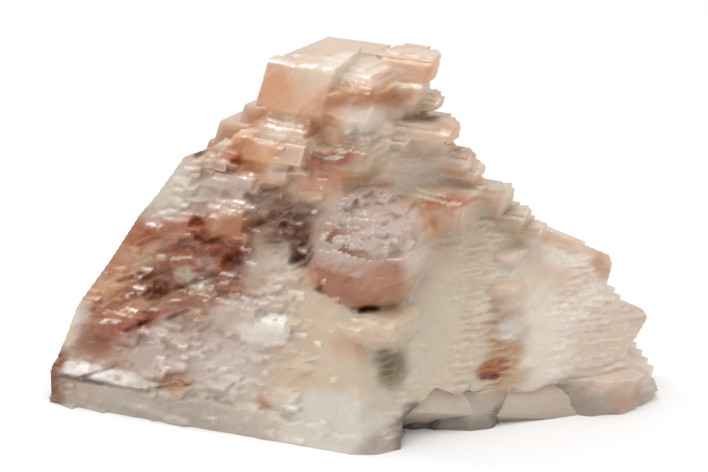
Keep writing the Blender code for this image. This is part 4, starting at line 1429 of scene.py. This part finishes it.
def facetGroup():
    group, source, sink = newGroup("facetFacing", [("Normal", "Vector")], [("Top", "Float")])
    top = shadow(group, source["Normal"], topFacing["way"])
    group.links.new(ramp(group, top, *topFacing["limits"]), sink["Top"])
    return group


# noises as scale, detail and distortion; ramps as the limits in and the values out
stainStyle = {"soft": (150, 3.0, 0.8), "fine": (700, 3.0, 0.5), "wisp": (300, 3.5, 1.2),
              "streaks": ((0.55, 0, 0.3), (-0.9, 0, 1.9), (0, 0.6, 0)), "wander": 2.4, "leastRim": 0.05,
              "core": (0.0, 1.8, 0.25, 1.0), "sides": (0.2, 1.0, 1.0, 0.35), "paleTopSheen": 0.85,
              "patchy": (0.5, 1.1), "recess": (0.4, 3.0), "recessShadeStain": 0.5, "shade": (0.90, 0.2),
              "veil": (0.56, 0.72, 0.0, 0.2), "paintedGlint": 0.5}


# colour of a stained crystal: pale rims and tops (the tops partly a painted reflection), the stain in the
# middle of the fronts, painted shade that deepens the stain in recesses, and a painted glint that whitens the
# bright strips
def stainGroup():
    style = stainStyle
    inputs = [("Position", "Vector"), ("Body", "Color"), ("Stain", "Color")]
    for name in ("Distance", "Strength", "Centre", "Spread", "Rim", "Along", "Top", "Strip", "Below"):
        inputs.append((name, "Float"))
    group, spot, sink = newGroup("ironStain", inputs, [("Color", "Color")])
    soft, fine = (grain(group, spot["Position"], *style[name]) for name in ("soft", "fine"))
    flowing = [shadow(group, spot["Position"], way) for way in style["streaks"]]
    wisp = grain(group, joined(group, flowing), *style["wisp"])
    wander = times(group, minus(group, soft, 0.5), times(group, spot["Rim"], style["wander"]))
    reach = plus(group, spot["Distance"], wander)
    rim = plus(group, spot["Rim"], style["leastRim"])
    core = ramp(group, maths(group, "DIVIDE", reach, rim), *style["core"])
    off = maths(group, "ABSOLUTE", minus(group, spot["Along"], spot["Centre"]))
    side = ramp(group, maths(group, "DIVIDE", off, spot["Spread"]), *style["sides"])
    # tops take less stain: partly paler stone, partly a painted reflection of the light from above
    front = minus(group, 1.0, times(group, spot["Top"], style["paleTopSheen"]))
    mask = times(group, times(group, core, side), times(group, front, spot["Strength"]))
    least, swing = style["patchy"]
    mask = times(group, mask, plus(group, least, times(group, wisp, swing)))
    # painted shade: recesses below the near slopes take more of the stain
    recess = ramp(group, spot["Below"], *style["recess"])
    recessShade = times(group, recess, times(group, spot["Strength"], style["recessShadeStain"]))
    mask = plus(group, mask, recessShade, clamp=True)
    colour = blend(group, mask, spot["Body"], spot["Stain"])
    least, swing = style["shade"]
    colour = blend(group, 1.0, colour, plus(group, least, times(group, fine, swing)), "MULTIPLY")
    colour = blend(group, ramp(group, wisp, *style["veil"]), colour, fixedTint("glass"))
    # painted glint: the bright strips are whitened
    colour = blend(group, times(group, spot["Strip"], style["paintedGlint"]), colour, fixedTint("white"))
    group.links.new(colour, sink["Color"])
    return group


reliefStyle = {"lines": (1.0, 3.0, 0.2), "pits": (1400, 4.0, 0.3), "frosted": 1.4, "clear": 0.1}


# fine relief: growth lines along the facets and a frosted grain
def reliefGroup():
    inputs = [("Position", "Vector"), ("Along", "Vector"), ("Frost", "Float")]
    group, spot, sink = newGroup("facetRelief", inputs, [("Height", "Float")])
    lines = grain(group, spot["Along"], *reliefStyle["lines"])
    pits = grain(group, spot["Position"], *reliefStyle["pits"])
    rough = plus(group, times(group, spot["Frost"], reliefStyle["frosted"]), reliefStyle["clear"])
    group.links.new(plus(group, lines, times(group, pits, rough)), sink["Height"])
    return group


groups = {"rim": rimGroup(), "facet": facetGroup(), "stain": stainGroup(), "relief": reliefGroup()}


def useGroup(tree, name, **values):
    return addNode(tree, "Group", values, node_tree=groups[name])


# pairs are the values on plain facets and on fully frosted or bright strips; lattice is lines per metre
calciteFinish = {"roughness": (0.30, 0.55), "stripSmooth": 0.5, "subsurface": (1.0, 0.3), "coat": (0.12, 0.8),
                 "lattice": (260, 2600, 1800), "bump": 0.00010,
                 "inputs": {"IOR": 1.6, "Specular IOR Level": 0.35, "Subsurface Radius": (1.0, 0.70, 0.50),
                            "Subsurface Scale": 0.0005, "Coat Roughness": 0.10}}


def milkyCalcite():
    finish = calciteFinish
    material = bpy.data.materials.new("milkyCalcite")
    material.use_nodes = True
    tree = material.node_tree
    surface = tree.nodes["Principled BSDF"].inputs
    where = tree.nodes.new("ShaderNodeTexCoord").outputs["Object"]
    place, side = attribute(tree, "place", "Vector"), attribute(tree, "side", "Vector")
    centre, spread, rim = addNode(tree, "SeparateColor", {0: attribute(tree, "zoning")})[:3]
    normal = tree.nodes.new("ShaderNodeNewGeometry").outputs["Normal"]
    distance = useGroup(tree, "rim", Place=place, Side=side)["Distance"]
    top = useGroup(tree, "facet", Normal=normal)["Top"]
    along = maths(tree, "DIVIDE", parts(tree, place)[0], parts(tree, side)[0])
    strip, frost = attribute(tree, "zoning", "Alpha"), attribute(tree, "body", "Alpha")
    stain = useGroup(tree, "stain", Position=where, Body=attribute(tree, "body"),
                     Stain=attribute(tree, "stain"), Strength=attribute(tree, "stain", "Alpha"),
                     Distance=distance, Centre=centre, Spread=spread, Rim=rim, Along=along, Top=top,
                     Strip=strip, Below=attribute(tree, "below", "Fac"))
    turned = [shadow(tree, where, axis[:]) for axis in (across, up, away)]
    lines = joined(tree, [times(tree, *pair) for pair in zip(turned, finish["lattice"])])
    relief = useGroup(tree, "relief", Position=where, Along=lines, Frost=frost)
    bump = addNode(tree, "Bump", {"Distance": finish["bump"], "Height": relief["Height"]})
    feed(tree, bump[0], surface["Normal"])
    feed(tree, stain["Color"], surface["Base Color"])
    rough = ramp(tree, frost, 0.0, 1.0, *finish["roughness"])
    rough = times(tree, rough, minus(tree, 1.0, times(tree, strip, finish["stripSmooth"])))
    feed(tree, rough, surface["Roughness"])
    feed(tree, ramp(tree, strip, 0.0, 1.0, *finish["subsurface"]), surface["Subsurface Weight"])
    feed(tree, ramp(tree, strip, 0.0, 1.0, *finish["coat"]), surface["Coat Weight"])
    for label, value in finish["inputs"].items():
        surface[label].default_value = value
    return material


cluster.data.materials.clear()
cluster.data.materials.append(milkyCalcite())
cluster.data.polygons.foreach_set("material_index", np.zeros(len(cluster.data.polygons), dtype=np.int32))
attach(cluster, "root")
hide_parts("calcite_cluster")
print("material made")

# studio: pale floor, soft overhead light, a small light behind for the bevel glints, a weak one at the left
studio = {"floorSize": 8, "floorColor": (0.94, 0.94, 0.94, 1), "floorRoughness": 0.9,
          "worldColor": (1, 1, 1, 1), "world": 0.80, "aim": Vector((0, 0, 0.035)),
          "lights": {"overhead": {"at": (0.05, -0.10, 0.62), "size": 0.5, "power": 1.4},
                     "glint": {"at": (-0.31, 0.21, 0.47), "size": 0.16, "power": 0.6},
                     "left": {"at": (-0.60, -0.25, 0.25), "size": 0.4, "power": 0.4}}}


def makeStudio():
    bpy.ops.object.select_all(action="DESELECT")
    bpy.ops.mesh.primitive_plane_add(size=studio["floorSize"], location=(0, 0, 0))
    floor = bpy.context.object
    floor.name = "floor"
    bpy.ops.object.transform_apply(location=True, rotation=True, scale=True)
    paint = bpy.data.materials.new("paleFloor")
    paint.use_nodes = True
    surface = paint.node_tree.nodes["Principled BSDF"].inputs
    surface["Base Color"].default_value = studio["floorColor"]
    surface["Roughness"].default_value = studio["floorRoughness"]
    floor.data.materials.append(paint)
    world = bpy.data.worlds.new("studioWhite")
    world.use_nodes = True
    backdrop = world.node_tree.nodes["Background"].inputs
    backdrop["Color"].default_value = studio["worldColor"]
    backdrop["Strength"].default_value = studio["world"]
    bpy.context.scene.world = world
    for name, lamp in studio["lights"].items():
        light = bpy.data.lights.new(name, "AREA")
        light.size = lamp["size"]
        light.energy = lamp["power"]
        holder = bpy.data.objects.new(name, light)
        bpy.context.scene.collection.objects.link(holder)
        holder.location = lamp["at"]
        holder.rotation_euler = (studio["aim"] - holder.location).to_track_quat("-Z", "Y").to_euler()
    bpy.context.scene.view_settings.view_transform = "Standard"


makeStudio()

# camera at the photo's angle, half a metre away
shot = {"target": Vector((-0.8, 35.0, 34.46)), "distance": 500, "lens": 126.1, "sensor": 36,
        "nearest": 0.01}


def makeCamera():
    lens = bpy.data.cameras.new("camera")
    lens.lens = shot["lens"]
    lens.sensor_width = shot["sensor"]
    lens.clip_start = shot["nearest"]
    camera = bpy.data.objects.new("camera", lens)
    bpy.context.scene.collection.objects.link(camera)
    target = shot["target"] + specimen["shift"]
    camera.location = (target - viewIn * shot["distance"]) * mm
    camera.rotation_euler = viewIn.to_track_quat("-Z", "Y").to_euler()
    bpy.context.scene.camera = camera


makeCamera()
print("scene ready")
